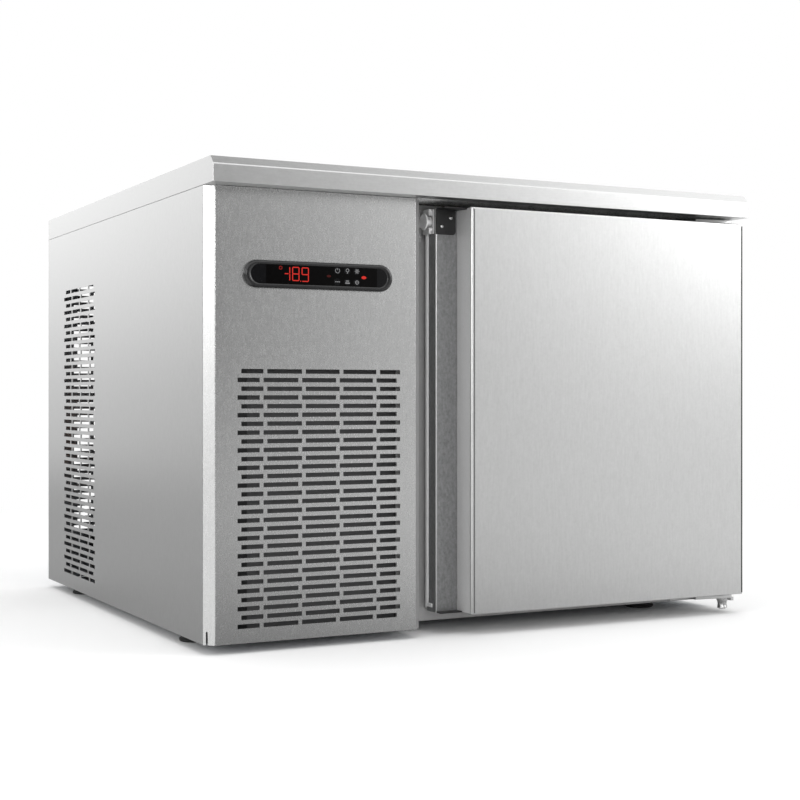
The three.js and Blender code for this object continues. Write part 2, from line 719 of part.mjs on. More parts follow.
// ---------------------------------------------------------------- door and its hinges
function hinges() {
  const { x, y, pinRadius } = HINGE;
  const [left, right] = [320, 390];
  const thickness = 4;
  const hole = rod("z", pinRadius + GAP, 0, HEIGHT, 20).translate(x, y, 0);
  const outline = [
    [left, FRAME_Y - GAP],
    [left + 8, y - 2],
    [x - 14, y - 8],
    [right - 4, y - 8],
    [right, y - 4],
    [right, FRAME_Y - GAP],
  ];
  const flange = (z0, z1) => box(left, right, FRAME_Y - GAP - 3, FRAME_Y - GAP, z0, z1);

  const low = DOOR.bottom - 3 - thickness;
  const stop = box(right - 5, right, y - 8, y + 6, low - 4, low + 1);
  const bottom = join(prism("z", outline, low, low + thickness), flange(BODY_BOTTOM + 1, low + 1), stop);
  part("hinges", "hinge_bottom_bracket", cut(bottom, hole), stainless());
  const barrel = turned(
    "z",
    [
      [0, 4.4],
      [5, 4.4],
      [7.3, 6],
      [7.3, 7.6],
      [5.8, 9.6],
      [6.2, 13],
      [8.2, low - 2.4],
      [8.2, low - GAP],
      [pinRadius, low - GAP],
      [pinRadius, DOOR.bottom + 18],
      [0, DOOR.bottom + 18],
    ],
    20,
  );
  part("hinges", "hinge_bottom_pin", barrel, aluminium(), [x, y, 0]);

  const high = DOOR.top + 2.5;
  const top = join(prism("z", outline, high, high + thickness), flange(high - 4, high + thickness));
  part("hinges", "hinge_top_bracket", cut(top, hole), stainless());
  const pin = rod("z", pinRadius, DOOR.top - 18, high + thickness, 20);
  part("hinges", "hinge_top_pin", pin, aluminium(), [x, y, 0]);

  const [strikeLeft, strikeRight] = [-95, -80];
  const strike = join(
    box(strikeLeft, strikeRight, FRAME_Y - GAP - 2.5, FRAME_Y - GAP, LATCH.z - 24, LATCH.z + 18),
    box(strikeLeft + 3, strikeRight - 2, FRAME_Y - 14, FRAME_Y - 2, LATCH.z - 7, LATCH.z + 7),
  );
  part("hinges", "strike_plate", strike, stainless());
}

function door() {
  const { left, right, bottom, top, front, rear } = DOOR;
  const wall = GRIP.right + GRIP.undercut;
  const skinEnd = GRIP.strip - GAP;
  const inner = rear - SHEET - GAP;
  const skinSection = [
    [wall, skinEnd],
    [wall, front + GRIP.lip],
    [GRIP.right, front + GRIP.lip],
    [GRIP.right, front],
    [right - 1.5, front],
    [right, front + 1.5],
    [right, inner],
    [right - SHEET, inner],
    [right - SHEET, front + SHEET],
    [wall + SHEET, front + SHEET],
    [wall + SHEET, skinEnd],
  ];
  const closure = [
    [wall, skinEnd],
    [wall, front + GRIP.lip],
    [GRIP.right, front + GRIP.lip],
    [GRIP.right, front],
    [right - 1.5, front],
    [right, front + 1.5],
    [right, inner],
    [wall, inner],
  ];
  const hingeHole = rod("z", HINGE.pinRadius + GAP, 0, HEIGHT, 20).translate(HINGE.x, HINGE.y, 0);
  const skin = join(
    prism("z", skinSection, bottom, top),
    prism("z", closure, bottom, bottom + SHEET),
    prism("z", closure, top - SHEET, top),
  );
  part("door", "door_skin", cut(skin, hingeHole), stainless());

  const stripEnd = wall - GAP;
  const stripLine = [
    [stripEnd, GRIP.strip],
    [left + 1.5, GRIP.strip],
    [left, GRIP.strip + 1.5],
    [left, inner],
  ];
  const stripCap = [...stripLine, [stripEnd, inner]];
  const strip = join(
    prism("z", folded(stripLine, SHEET), bottom, top),
    prism("z", stripCap, bottom, bottom + SHEET),
    prism("z", stripCap, top - SHEET, top),
  );
  part("door", "door_grip_strip", strip, stainless());

  const inset = SHEET + GAP;
  const foamSection = [
    [left + inset + 0.5, GRIP.strip + inset + 0.5],
    [wall + inset, GRIP.strip + inset + 0.5],
    [wall + inset, front + inset],
    [right - inset, front + inset],
    [right - inset, inner - GAP],
    [left + inset + 0.5, inner - GAP],
  ];
  const holeDepth = 20;
  const foam = cut(
    prism("z", foamSection, bottom + inset, top - inset),
    rod("z", HINGE.pinRadius + GAP, bottom, bottom + holeDepth, 20).translate(HINGE.x, HINGE.y, 0),
    rod("z", HINGE.pinRadius + GAP, top - holeDepth, top, 20).translate(HINGE.x, HINGE.y, 0),
  );
  part("door", "door_foam", foam, foamYellow());

  const innerPanel = box(left, right, rear - SHEET, rear, bottom, top);
  part("door", "door_inner_panel", innerPanel, stainless());

  const ring = (grow, y0, y1) =>
    prism(
      "y",
      rectangle(GASKET.left - grow, GASKET.right + grow, GASKET.bottom - grow, GASKET.top + grow),
      y0,
      y1,
      [
        rectangle(
          GASKET.left + GASKET.width + grow,
          GASKET.right - GASKET.width - grow,
          GASKET.bottom + GASKET.width + grow,
          GASKET.top - GASKET.width - grow,
        ),
      ],
    );
  const bulb = join(
    ring(0, rear + GAP, rear + 3),
    ring(-3, rear + 2, rear + 6),
    ring(-1.5, rear + 5, GASKET.rear),
  );
  part("door", "door_gasket", bulb, gasketGrey());

  const plate = prism(
    "y",
    [
      [left, LATCH.z - 16.5],
      [GRIP.right - 6.4, LATCH.z - 16.5],
      [GRIP.right - 2.4, LATCH.z - 12.5],
      [GRIP.right - 2.4, top - 4.8],
      [GRIP.right - 6.4, top - 0.8],
      [left, top - 0.8],
    ],
    GRIP.strip - GAP - 2,
    GRIP.strip - GAP,
  );
  part("door", "latch_plate", plate, blackPlastic());

  const face = left - GAP;
  const ear = (z0, z1) => box(face - 7, face - 1, LATCH.y - 8, LATCH.y + 8, z0, z1);
  const bracket = cut(
    join(
      box(face - 2, face, LATCH.y - 10, LATCH.y + 9, LATCH.z - 16, LATCH.z + 16),
      ear(LATCH.z + 8, LATCH.z + 16),
      ear(LATCH.z - 16, LATCH.z - 8),
    ),
    rod("x", 3.4, face - 5, face + 1, 16).translate(0, LATCH.y, LATCH.z),
  );
  part("door", "latch_bracket", bracket, stainless());
  const roller = turned(
    "x",
    [
      [0, -11.5],
      [LATCH.headRadius - 1.5, -11.5],
      [LATCH.headRadius, -10.2],
      [LATCH.headRadius, -8.6],
      [LATCH.shankRadius, -7.6],
      [LATCH.shankRadius, -2.4],
      [3, -2.4],
      [3, -0.1],
      [0, -0.1],
    ],
  );
  part("door", "latch_roller", roller, aluminium(), [face, LATCH.y, LATCH.z]);
}

worktop();
sidePanels();
rearPanel();
basePan();
servicePanel();
dividerPanel();
feet();
cabinetShell();
trayRacks();
evaporator();
condenser();
compressor();
receiverAndPipes();
electricalBox();
controller();
hinges();
door();

export default chiller;
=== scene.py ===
import json
import math

import bmesh
import bpy
from mathutils import Matrix, Vector

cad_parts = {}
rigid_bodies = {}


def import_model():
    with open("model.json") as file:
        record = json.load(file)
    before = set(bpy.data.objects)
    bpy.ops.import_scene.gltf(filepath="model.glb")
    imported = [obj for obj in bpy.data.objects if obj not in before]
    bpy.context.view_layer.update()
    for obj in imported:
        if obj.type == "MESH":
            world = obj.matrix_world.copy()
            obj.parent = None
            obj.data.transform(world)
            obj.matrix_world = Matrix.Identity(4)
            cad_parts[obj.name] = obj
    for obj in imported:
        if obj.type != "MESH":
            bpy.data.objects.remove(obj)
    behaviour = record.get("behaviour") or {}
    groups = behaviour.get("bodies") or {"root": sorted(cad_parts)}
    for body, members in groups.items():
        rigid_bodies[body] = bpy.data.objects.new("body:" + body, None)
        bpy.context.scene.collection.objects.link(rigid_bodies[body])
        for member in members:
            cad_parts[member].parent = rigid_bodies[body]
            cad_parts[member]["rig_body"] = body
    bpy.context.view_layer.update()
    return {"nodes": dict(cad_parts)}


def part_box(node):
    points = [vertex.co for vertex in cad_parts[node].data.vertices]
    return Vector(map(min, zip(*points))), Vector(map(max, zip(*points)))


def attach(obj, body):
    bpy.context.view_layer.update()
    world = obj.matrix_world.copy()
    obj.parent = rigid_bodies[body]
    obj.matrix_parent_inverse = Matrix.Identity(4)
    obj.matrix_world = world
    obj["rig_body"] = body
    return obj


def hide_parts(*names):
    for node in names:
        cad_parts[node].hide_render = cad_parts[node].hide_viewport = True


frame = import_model()
scene = bpy.context.scene


# ------------ camera
# A level camera at the front left, 2.3 m off and at half the machine's height, with a long lens. Its view
# is shifted a little, which frames the machine and keeps upright edges upright.
def placed(name, data):
    """An object in the scene."""
    thing = bpy.data.objects.new(name, data)
    scene.collection.objects.link(thing)
    return thing


camera_data = bpy.data.cameras.new("camera")
camera_data.sensor_width = 36
camera_data.lens = 69.494
camera_data.shift_x = -0.0823
camera_data.shift_y = -0.0082
camera = placed("camera", camera_data)
camera.location = (-1.0003, -2.1154, 0.3106)
heading = Vector((0.4799, 0.8774, 0))
camera.rotation_euler = heading.to_track_quat("-Z", "Y").to_euler()
scene.camera = camera

scene.view_settings.view_transform = "Standard"


# ------------ studio
# A round white tent of sky, brighter at both sides and with a dark flag in front, which the steel mirrors.
# The floor is pale paper that turns plain white far off, with two grey cards at the machine's foot that
# only the steel sees. Soft lamps stand at the right, at the left, in front and overhead.
world = bpy.data.worlds.new("studio")
scene.world = world
world.use_nodes = True
sky = world.node_tree
sky.nodes.clear()


def wire(tree, source, socket):
    """Links an output to a socket, or sets the socket to a plain value."""
    if isinstance(source, bpy.types.NodeSocket):
        tree.links.new(source, socket)
    else:
        socket.default_value = source


def sockets(tree, node, **values):
    """Sets or wires a node's inputs by their names."""
    for name, source in values.items():
        wire(tree, source, node.inputs[name.replace("_", " ")])
    return node


def node_of(tree, kind, **values):
    return sockets(tree, tree.nodes.new("ShaderNode" + kind), **values)


def math_node(tree, operation, a, b):
    node = node_of(tree, "Math")
    node.operation = operation
    wire(tree, a, node.inputs[0])
    wire(tree, b, node.inputs[1])
    return node.outputs[0]


def ramp_node(tree, value, low, high, to_low, to_high, smooth=True):
    """Turns one stretch of values into another."""
    node = node_of(tree, "MapRange", Value=value, From_Min=low, From_Max=high, To_Min=to_low, To_Max=to_high)
    node.interpolation_type = "SMOOTHSTEP" if smooth else "LINEAR"
    return node.outputs["Result"]


def levels(tree, value, stops, most):
    """A curve through (place, level) stops, its levels shares of the most."""
    node = node_of(tree, "ValToRGB", Fac=value)
    node.color_ramp.interpolation = "CARDINAL"
    elements = node.color_ramp.elements
    for _ in stops[2:]:
        elements.new(0.5)
    for element, (place, level) in zip(elements, stops):
        element.position = place
        element.color = (level / most,) * 3 + (1,)
    return math_node(tree, "MULTIPLY", node.outputs["Color"], most)


def mixed(tree, share, one, other):
    """One shader that gives way to another by a share."""
    node = node_of(tree, "MixShader")
    for source, socket in zip((share, one, other), node.inputs):
        wire(tree, source, socket)
    return node.outputs[0]


def in_reflection(tree, path):
    """Whether a light path comes off gloss or through glass."""
    return math_node(tree, "MAXIMUM", path.outputs["Is Glossy Ray"], path.outputs["Is Transmission Ray"])


def sky_light(strength):
    return node_of(sky, "Background", Color=(1, 1, 1, 1), Strength=strength).outputs[0]


split = node_of(sky, "SeparateXYZ", Vector=node_of(sky, "TexCoord").outputs["Generated"])
backwards = math_node(sky, "MULTIPLY", split.outputs["Y"], -1.0)
bearing = math_node(sky, "ARCTAN2", split.outputs["X"], backwards)
BRIGHTEST = 2.5
# the tent's level at bearings in degrees, 0 in front and 90 at the right
TENT = [(-180, 2.4), (-168, 2.2), (-164, 1.5), (-159, 1.05), (-140, 1.1), (-110, 1.8), (-72, 2.3),
        (-50, 2.1), (-30, 1.0), (-12, 0.3), (8, 0.08), (17, 0.13), (23, 0.46), (29, 1.12), (37, 1.65),
        (44, 1.5), (58, 1.1), (90, 0.9), (122, 0.6), (155, 1.2), (172, 2.2)]
tent = levels(sky, ramp_node(sky, bearing, -math.pi, math.pi, 0, 1, False),
              [((turn + 180) / 360, level) for turn, level in TENT], BRIGHTEST)
# its share from straight below, 0, over the horizon, 0.5, to straight above, 1
HEIGHTS = [(0.0, 0.45), (0.49, 0.47), (0.53, 0.82), (0.57, 1.1), (0.62, 1.25), (0.68, 1.5), (0.78, 2.2),
           (0.82, 2.5), (0.915, 2.5), (0.935, 1.4), (0.952, 0.8), (0.97, 0.6), (1.0, 0.6)]
height = levels(sky, ramp_node(sky, split.outputs["Z"], -1, 1, 0, 1, False), HEIGHTS, BRIGHTEST)
ROOF_LEVEL = 0.75
overhead = ramp_node(sky, split.outputs["Z"], 0.17, 0.34, 0, 1)
roof = math_node(sky, "MULTIPLY", overhead, ROOF_LEVEL)
walls = math_node(sky, "MULTIPLY", math_node(sky, "SUBTRACT", 1.0, overhead), tent)
glow = math_node(sky, "MULTIPLY", math_node(sky, "ADD", roof, walls), height)
sky_path = node_of(sky, "LightPath")
lighting = mixed(sky, in_reflection(sky, sky_path), sky_light(0.8), sky_light(glow))
node_of(sky, "OutputWorld", Surface=mixed(sky, sky_path.outputs["Is Camera Ray"], lighting, sky_light(1.0)))


def flat_sheet(name, across, deep, height, tones, fade=(0, 1)):
    """A level sheet of paper over a stretch of X and of Y, whose tone fades from its left to its right."""
    mesh = bpy.data.meshes.new(name)
    grid = bmesh.new()
    bmesh.ops.create_grid(
        grid, x_segments=1, y_segments=1, size=0.5,
        matrix=Matrix.Translation((sum(across) / 2, sum(deep) / 2, height))
        @ Matrix.Diagonal((across[1] - across[0], deep[1] - deep[0], 1, 1)),
    )
    grid.to_mesh(mesh)
    grid.free()
    material = bpy.data.materials.new(name + "_paper")
    material.use_nodes = True
    tree = material.node_tree
    place = node_of(tree, "SeparateXYZ", Vector=node_of(tree, "TexCoord").outputs["Object"])
    sockets(tree, tree.nodes["Principled BSDF"], Roughness=0.9, Specular_IOR_Level=0.1,
            Base_Color=ramp_node(tree, place.outputs["X"], *fade, *tones, False))
    mesh.materials.append(material)
    sheet = placed(name, mesh)
    return sheet


floor = flat_sheet("floor", (-7, 7), (-7, 7), 0, (0.97, 0.97))
paper = floor.data.materials[0].node_tree
distance = node_of(paper, "VectorMath", Vector=node_of(paper, "TexCoord").outputs["Object"])
distance.operation = "LENGTH"
floor_path = node_of(paper, "LightPath")
looked_at = math_node(paper, "MAXIMUM", floor_path.outputs["Is Camera Ray"],
                      in_reflection(paper, floor_path))
far_off = ramp_node(paper, distance.outputs["Value"], 1.2, 2.1, 0, 1)
white = node_of(paper, "Emission", Strength=1.0)
sockets(paper, paper.nodes["Material Output"], Surface=mixed(
    paper, math_node(paper, "MULTIPLY", looked_at, far_off), paper.nodes["Principled BSDF"].outputs[0],
    white.outputs[0]))
CARD_HEIGHT = 0.0008
for card in (flat_sheet("card_front", (-0.41, 0.8), (-4, -0.37), CARD_HEIGHT, (0.3, 0.78), (-0.3, 0.65)),
             flat_sheet("card_left", (-4, -0.385), (-0.33, 4), CARD_HEIGHT, (0.42, 0.42))):
    card.visible_camera = card.visible_diffuse = card.visible_shadow = False


def lamp(name, location, aim, size, power):
    data = bpy.data.lights.new(name, "AREA")
    data.shape = "DISK"
    data.size = size
    data.energy = power
    light = placed(name, data)
    light.location = location
    light.rotation_euler = (Vector(aim) - Vector(location)).to_track_quat("-Z", "Y").to_euler()
    light.visible_camera = False
    return light


lamp("lamp_right", (3.4, -3.0, 1.7), (0.1, 0, 0.3), 2.0, 42)
lamp("lamp_left", (-3.6, -0.6, 1.5), (0, 0, 0.3), 1.8, 26)
lamp("lamp_front", (-1.5, -4.6, 1.1), (-0.1, -0.3, 0.3), 0.9, 20)
lamp("lamp_top", (0.2, -0.2, 3.4), (0, 0, 0.3), 4.0, 44).visible_glossy = False


# ------------ casing sheets
# Satin stainless sheet, cut, punched and folded, closed behind and below with galvanised sheet. A dressed
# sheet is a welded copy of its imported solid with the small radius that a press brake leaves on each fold.
MM = 0.001
NOISE_SPREAD = (0.3, 0.7)  # most of a noise texture lies between these


def each(value):
    """Three alike, unless there are three already."""
    return value if isinstance(value, tuple) else (value,) * 3


def finish(name, tone, metallic, roughness, grain, variation=0.05, speckle=None, bump=0.02, **others):
    """A finish whose tone and gloss vary with a fine grain, scaled alike or for each axis."""
    material = bpy.data.materials.new(name)
    material.use_nodes = True
    tree = material.node_tree
    place = node_of(tree, "TexCoord").outputs["Object"]
    stretch = node_of(tree, "Mapping", Vector=place, Scale=each(grain))
    pattern = node_of(tree, "TexNoise", Vector=stretch.outputs["Vector"], Scale=1.0, Detail=3.0,
                      Roughness=0.6).outputs["Fac"]
    if speckle:
        spots = node_of(tree, "TexNoise", Vector=place, Scale=speckle, Detail=4.0, Roughness=0.65)
        pattern = math_node(tree, "MULTIPLY", math_node(tree, "ADD", pattern, spots.outputs["Fac"]), 0.5)
    shade = node_of(tree, "Mix")
    shade.data_type = "RGBA"
    sockets(tree, shade, Factor=ramp_node(tree, pattern, *NOISE_SPREAD, 0, 1, False),
            A=(*(c * (1 - variation) for c in each(tone)), 1),
            B=(*(min(c * (1 + variation), 1) for c in each(tone)), 1))
    sockets(tree, tree.nodes["Principled BSDF"], Base_Color=shade.outputs["Result"], Metallic=metallic,
            Roughness=ramp_node(tree, pattern, *NOISE_SPREAD, *roughness, False), **others)
    if bump:
        relief = node_of(tree, "Bump", Strength=bump, Distance=0.0002, Height=pattern)
        sockets(tree, tree.nodes["Principled BSDF"], Normal=relief.outputs["Normal"])
    return material


STEEL = (0.52, 0.522, 0.52)
satin_upright = finish("satin_steel_upright", STEEL, 1, (0.28, 0.34), (420, 420, 60), 0.07, 300)
satin_across = finish("satin_steel_across", STEEL, 1, (0.28, 0.34), (60, 420, 420), 0.06, 300)
satin_front = finish("satin_steel_front", STEEL, 1, (0.24, 0.29), (420, 420, 130), 0.07, 420, 0.015)
satin_deep = finish("satin_steel_deep", STEEL, 1, (0.3, 0.36), (420, 60, 420), 0.06, 300)
zinc = finish("galvanised_sheet", (0.42, 0.44, 0.46), 1, (0.34, 0.5), 60, 0.16, 150, 0.03)
board = finish("laminated_board", 0.8, 0, (0.24, 0.32), (200, 200, 900), 0.06, 500)
BLASTED = ((0.4, 0.5), 400, 0.05, 300)  # gloss, grain, variation and speckle
blasted_steel = finish("blasted_steel", 0.62, 0.4, *BLASTED)
frame_steel = finish("blasted_frame_steel", 0.47, 0.35, *BLASTED)
# a darker tone for the front panel's right fold: painted shade where that fold turns away from the light
shaded_fold_paint = finish("painted_shade_fold_finish", 0.31, 0.35, *BLASTED)


def welded(node):
    """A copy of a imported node's mesh whose loose triangles are merged into flat faces."""
    shell = bmesh.new()
    shell.from_mesh(frame["nodes"][node].data)
    bmesh.ops.remove_doubles(shell, verts=shell.verts, dist=5e-6)
    bmesh.ops.dissolve_limit(shell, angle_limit=math.radians(0.6), verts=shell.verts, edges=shell.edges)
    return shell


def folds(shell, least, most, test=None):
    """Edges that turn outwards by least to most degrees and whose middle, in millimetres, passes a test."""
    return [edge for edge in shell.edges if edge.is_manifold and edge.is_convex
            and least <= math.degrees(edge.calc_face_angle()) <= most
            and (test is None or test(*((edge.verts[0].co + edge.verts[1].co) / (2 * MM))))]


def round_over(shell, edges, radius, steps=3):
    bmesh.ops.bevel(shell, geom=edges, offset=radius * MM, offset_type="OFFSET", segments=steps, profile=0.5,
                    affect="EDGES", clamp_overlap=True, material=-1)


def piece(name, shell, slot, *materials, node=None, body="chiller_body", sheet=0):
    """Makes a finished bmesh a piece, smooth but for its sharp edges. It takes the place and the body of a
    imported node, or else rides the body that is named."""
    mesh = bpy.data.meshes.new(name)
    for face in shell.faces:
        face.smooth = True
    shell.to_mesh(mesh)
    shell.free()
    mesh.set_sharp_from_angle(angle=math.radians(38))
    for material in materials:
        mesh.materials.append(material)
    thing = placed(name, mesh)
    if sheet:
        wall = thing.modifiers.new("sheet", "SOLIDIFY")
        wall.thickness = sheet * MM
        wall.offset = -1
        wall.use_even_offset = True
    thing.modifiers.new("even_shading", "WEIGHTED_NORMAL").keep_sharp = True
    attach(thing, frame["nodes"][node]["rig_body"] if node else body)
    if node:
        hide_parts(node)


def dressed(name, node, slot, material, radius, least=60, most=120, test=None, steps=3):
    """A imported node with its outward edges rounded."""
    shell = welded(node)
    round_over(shell, folds(shell, least, most, test), radius, steps)
    piece(name, shell, slot, material, node=node)


def in_mm(node):
    low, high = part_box(node)
    return low / MM, high / MM


def coat(material, *nodes):
    """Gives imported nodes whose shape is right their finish."""
    for node in nodes:
        mesh = frame["nodes"][node].data
        mesh.materials.clear()
        mesh.materials.append(material)


TOUCH = 0.1  # an edge whose middle is this near to a face lies on it
top_low, top_high = in_mm("worktop")
chamfer_foot = top_high.z - 9
top = welded("worktop")
round_over(top, folds(top, 40, 50, lambda x, y, z: y < top_low.y + TOUCH and z < chamfer_foot), 1.4, 4)
round_over(top, folds(top, 30, 120, lambda x, y, z: min(
    x - top_low.x, top_high.x - x, y - top_low.y, top_high.y - y, top_high.z - z) < TOUCH), 0.6)
piece("worktop_folded_top", top, "stainless_casing", satin_across, node="worktop")
panel_low, panel_high = in_mm("front_service_panel")
left_fold, right_fold, folds_rear = 0.6 * panel_low.x, panel_high.x - 12, panel_low.y + 14
front = welded("front_service_panel")
# faces of the right fold that turn towards the door take the darker finish, which is painted shade
for face in front.faces:
    face.material_index = int(face.normal.x > 0.5 and face.calc_center_median().x > right_fold * MM)
round_over(front, folds(front, 30, 60, lambda x, y, z: y < folds_rear and x < left_fold), 0.9)
round_over(front, folds(front, 30, 60, lambda x, y, z: y < folds_rear and x > right_fold), 0.4)
piece("front_panel_folded", front, "stainless_casing", satin_front, shaded_fold_paint, node="front_service_panel")
coat(satin_upright, "left_side_panel", "right_side_panel")
coat(zinc, "rear_panel", "base_pan", "divider_panel")
coat(board, "worktop_core")


# ------------ screws and the rear panel's fixings
# Domed screws of bright stainless steel with a round socket, turned from bar. Ten of them hold the rear
# panel to the casing's flanges.
bright_steel = finish("bright_screw_steel", 0.6, 1, (0.2, 0.3), 900, 0.08)


def face_outwards(shell):
    bmesh.ops.recalc_face_normals(shell, faces=shell.faces)


def turned(profile, centre, axis=(0, 0, 1), steps=32):
    """A turned solid: a profile of (radius, height) pairs spun about an axis through a centre."""
    shell = bmesh.new()
    points = [shell.verts.new((radius * MM, 0, height * MM)) for radius, height in profile]
    lines = [shell.edges.new(pair) for pair in zip(points, points[1:])]
    bmesh.ops.spin(shell, geom=points + lines, cent=(0, 0, 0), axis=(0, 0, 1), angle=math.tau, steps=steps,
                   use_merge=True)
    bmesh.ops.remove_doubles(shell, verts=shell.verts, dist=1e-6)
    face_outwards(shell)
    turn = Vector((0, 0, 1)).rotation_difference(Vector(axis)).to_matrix().to_4x4()
    bmesh.ops.transform(shell, matrix=Matrix.Translation(Vector(centre) * MM) @ turn, verts=shell.verts)
    return shell


def together(*shells):
    """One bmesh that holds several."""
    whole = bmesh.new()
    for shell in shells:
        part = bpy.data.meshes.new("part")
        shell.to_mesh(part)
        shell.free()
        whole.from_mesh(part)
        bpy.data.meshes.remove(part)
    return whole


def screw(centre, axis, radius=3.2, height=1.8):
    """A domed head on its place, with a socket sunk in it."""
    return turned(
        [(0, height * 0.4), (radius * 0.34, height * 0.4), (radius * 0.4, height),
         (radius * 0.72, height * 0.82), (radius * 0.94, height * 0.45), (radius, 0), (0, 0)],
        centre, axis, 20,
    )


rear_low, rear_high = in_mm("rear_panel")
side_margin, end_margin = 9, 16
rear_screws = [
    screw((x, rear_high.y, z), (0, 1, 0))
    for x in (rear_low.x + side_margin, rear_high.x - side_margin)
    for z in (rear_low.z + end_margin, 150, 285, 420, rear_high.z - end_margin)
]
piece("rear_panel_screws", together(*rear_screws), "bright_hardware", bright_steel)


# ------------ feet
# Four feet of black rubber, moulded with a waist and a rounded rim. Each is held by a domed screw that
# is sunk in its middle.
black_rubber = finish("black_rubber", 0.012, 0, (0.55, 0.75), 700, 0.2)
for foot in ("front_left", "rear_left", "front_right", "rear_right"):
    foot_low, foot_high = in_mm("foot_" + foot)
    foot_place = ((foot_low.x + foot_high.x) / 2, (foot_low.y + foot_high.y) / 2)
    rim = (foot_high.x - foot_low.x) / 2
    socket_depth = 4.5
    moulding = turned(
        [(0, socket_depth), (5, socket_depth), (5, 1.4), (6.4, 0), (rim - 2.2, 0), (rim - 0.6, 0.6),
         (rim, 2), (rim, 3.6), (rim - 1.4, 4.6), (rim - 1.4, 7.8), (rim - 0.5, 8.8),
         (rim - 0.5, foot_high.z), (0, foot_high.z)],
        (*foot_place, 0), steps=40,
    )
    piece("rubber_foot_" + foot, moulding, "black_rubber", black_rubber, node="foot_" + foot)
    fixing = screw((*foot_place, socket_depth), (0, 0, -1), 4.2, 2.2)
    piece("foot_screw_" + foot, fixing, "bright_hardware", bright_steel)


# ------------ cable outlet
# A black nylon gland, screwed into the rear panel: a hexagon nut under a turned dome cap, whose opening
# is blanked.
black_plastic = finish("black_moulded_plastic", (0.007, 0.007, 0.0075), 0, (0.42, 0.52), 900, 0.2)
gland_low, gland_high = in_mm("cable_gland")
gland_foot = Vector(((gland_low.x + gland_high.x) / 2, rear_high.y, (gland_low.z + gland_high.z) / 2))
nut_reach, nut_depth, nut_middle = 11.9, 4.4, 2.5
nut = bmesh.new()
bmesh.ops.create_cone(nut, segments=6, radius1=nut_reach * MM, radius2=nut_reach * MM, depth=nut_depth * MM,
                      cap_ends=True)
round_over(nut, folds(nut, 80, 100), 0.5, 2)
bmesh.ops.transform(
    nut, verts=nut.verts,
    matrix=Matrix.Translation((gland_foot + Vector((0, nut_middle, 0))) * MM)
    @ Matrix.Rotation(math.pi / 2, 4, "X"),
)
dome = turned(
    [(0, 6), (3.6, 6), (4.2, 7.6), (6, 8), (8.6, 7.2), (9.6, 5.6), (9.8, 4.6), (8, 4.6), (8, -14), (0, -14)],
    gland_foot, (0, 1, 0), 24,
)
piece("cable_gland_nut_and_cap", together(nut, dome), "black_plastic", black_plastic, node="cable_gland")


# ------------ insulated cabinet
# Foam between the casing and a stainless liner, closed in front by the flat frame that the door seals on.
# The pan runners are bent angles welded to channel uprights, with every edge broken.
foam = finish("insulation_foam", (0.72, 0.62, 0.34), 0, (0.85, 0.95), 500, 0.1, bump=0.4)
coat(foam, "cabinet_foam", "door_foam")
coat(satin_deep, "inner_liner")
coat(frame_steel, "door_frame")
for side in ("left", "right"):
    dressed("pan_runners_" + side, "tray_rack_" + side, "stainless_cabinet", satin_deep, 0.35, steps=2)


# ------------ evaporator
# Thin aluminium fins on expanded copper tubes with soldered return bends, between two galvanised end
# plates, over a folded stainless drip tray.
bare_aluminium = finish("bare_aluminium", (0.6, 0.61, 0.62), 1, (0.3, 0.42), 300, 0.06)
copper = finish("copper_tube", (0.66, 0.3, 0.17), 1, (0.22, 0.4), 120, 0.14)


def block(low, high):
    """A block between two corners."""
    shell = bmesh.new()
    low, high = Vector(low) * MM, Vector(high) * MM
    bmesh.ops.create_cube(
        shell, size=1, matrix=Matrix.Translation((low + high) / 2) @ Matrix.Diagonal((*(high - low), 1))
    )
    return shell


def fin_stack(left, right, front, rear, bottom, top, pitch, thickness):
    """Thin upright fins, set side by side."""
    count = int((right - left) / pitch)
    step = (right - left - thickness) / count
    return together(*(
        block((left + i * step, front, bottom), (left + i * step + thickness, rear, top))
        for i in range(count + 1)
    ))


def rod(start, end, radius, sides=10):
    """A round bar between two points."""
    run = Vector(end) - Vector(start)
    profile = [(0, 0), (radius, 0), (radius, run.length), (0, run.length)]
    return turned(profile, start, run.normalized(), sides)


def coil_tubes(left, right, rows, bottom, top, pitch, radius):
    """Straight tubes through the fins, with a return bend outside the end plates at every other turn."""
    shells = []
    count = int((top - bottom) / pitch)
    for row, y in enumerate(rows):
        for level in range(count):
            z = bottom + (level + 0.5) * pitch
            shells.append(rod((left, y, z), (right, y, z), radius, 8))
            if level + 1 < count:
                outwards = 1 if (level + row) % 2 else -1
                end = right if outwards > 0 else left
                bend = bmesh.new()
                ring = bmesh.ops.create_circle(
                    bend, segments=10, radius=radius * MM,
                    matrix=Matrix.Translation(Vector((end, y, z)) * MM)
                    @ Matrix.Rotation(math.pi / 2, 4, "Y"),
                )["verts"]
                bmesh.ops.spin(
                    bend, geom=ring + list({e for v in ring for e in v.link_edges}), angle=math.pi, steps=10,
                    cent=Vector((end, y, z + pitch / 2)) * MM, axis=(0, -outwards, 0),
                )
                face_outwards(bend)
                shells.append(bend)
    return together(*shells)


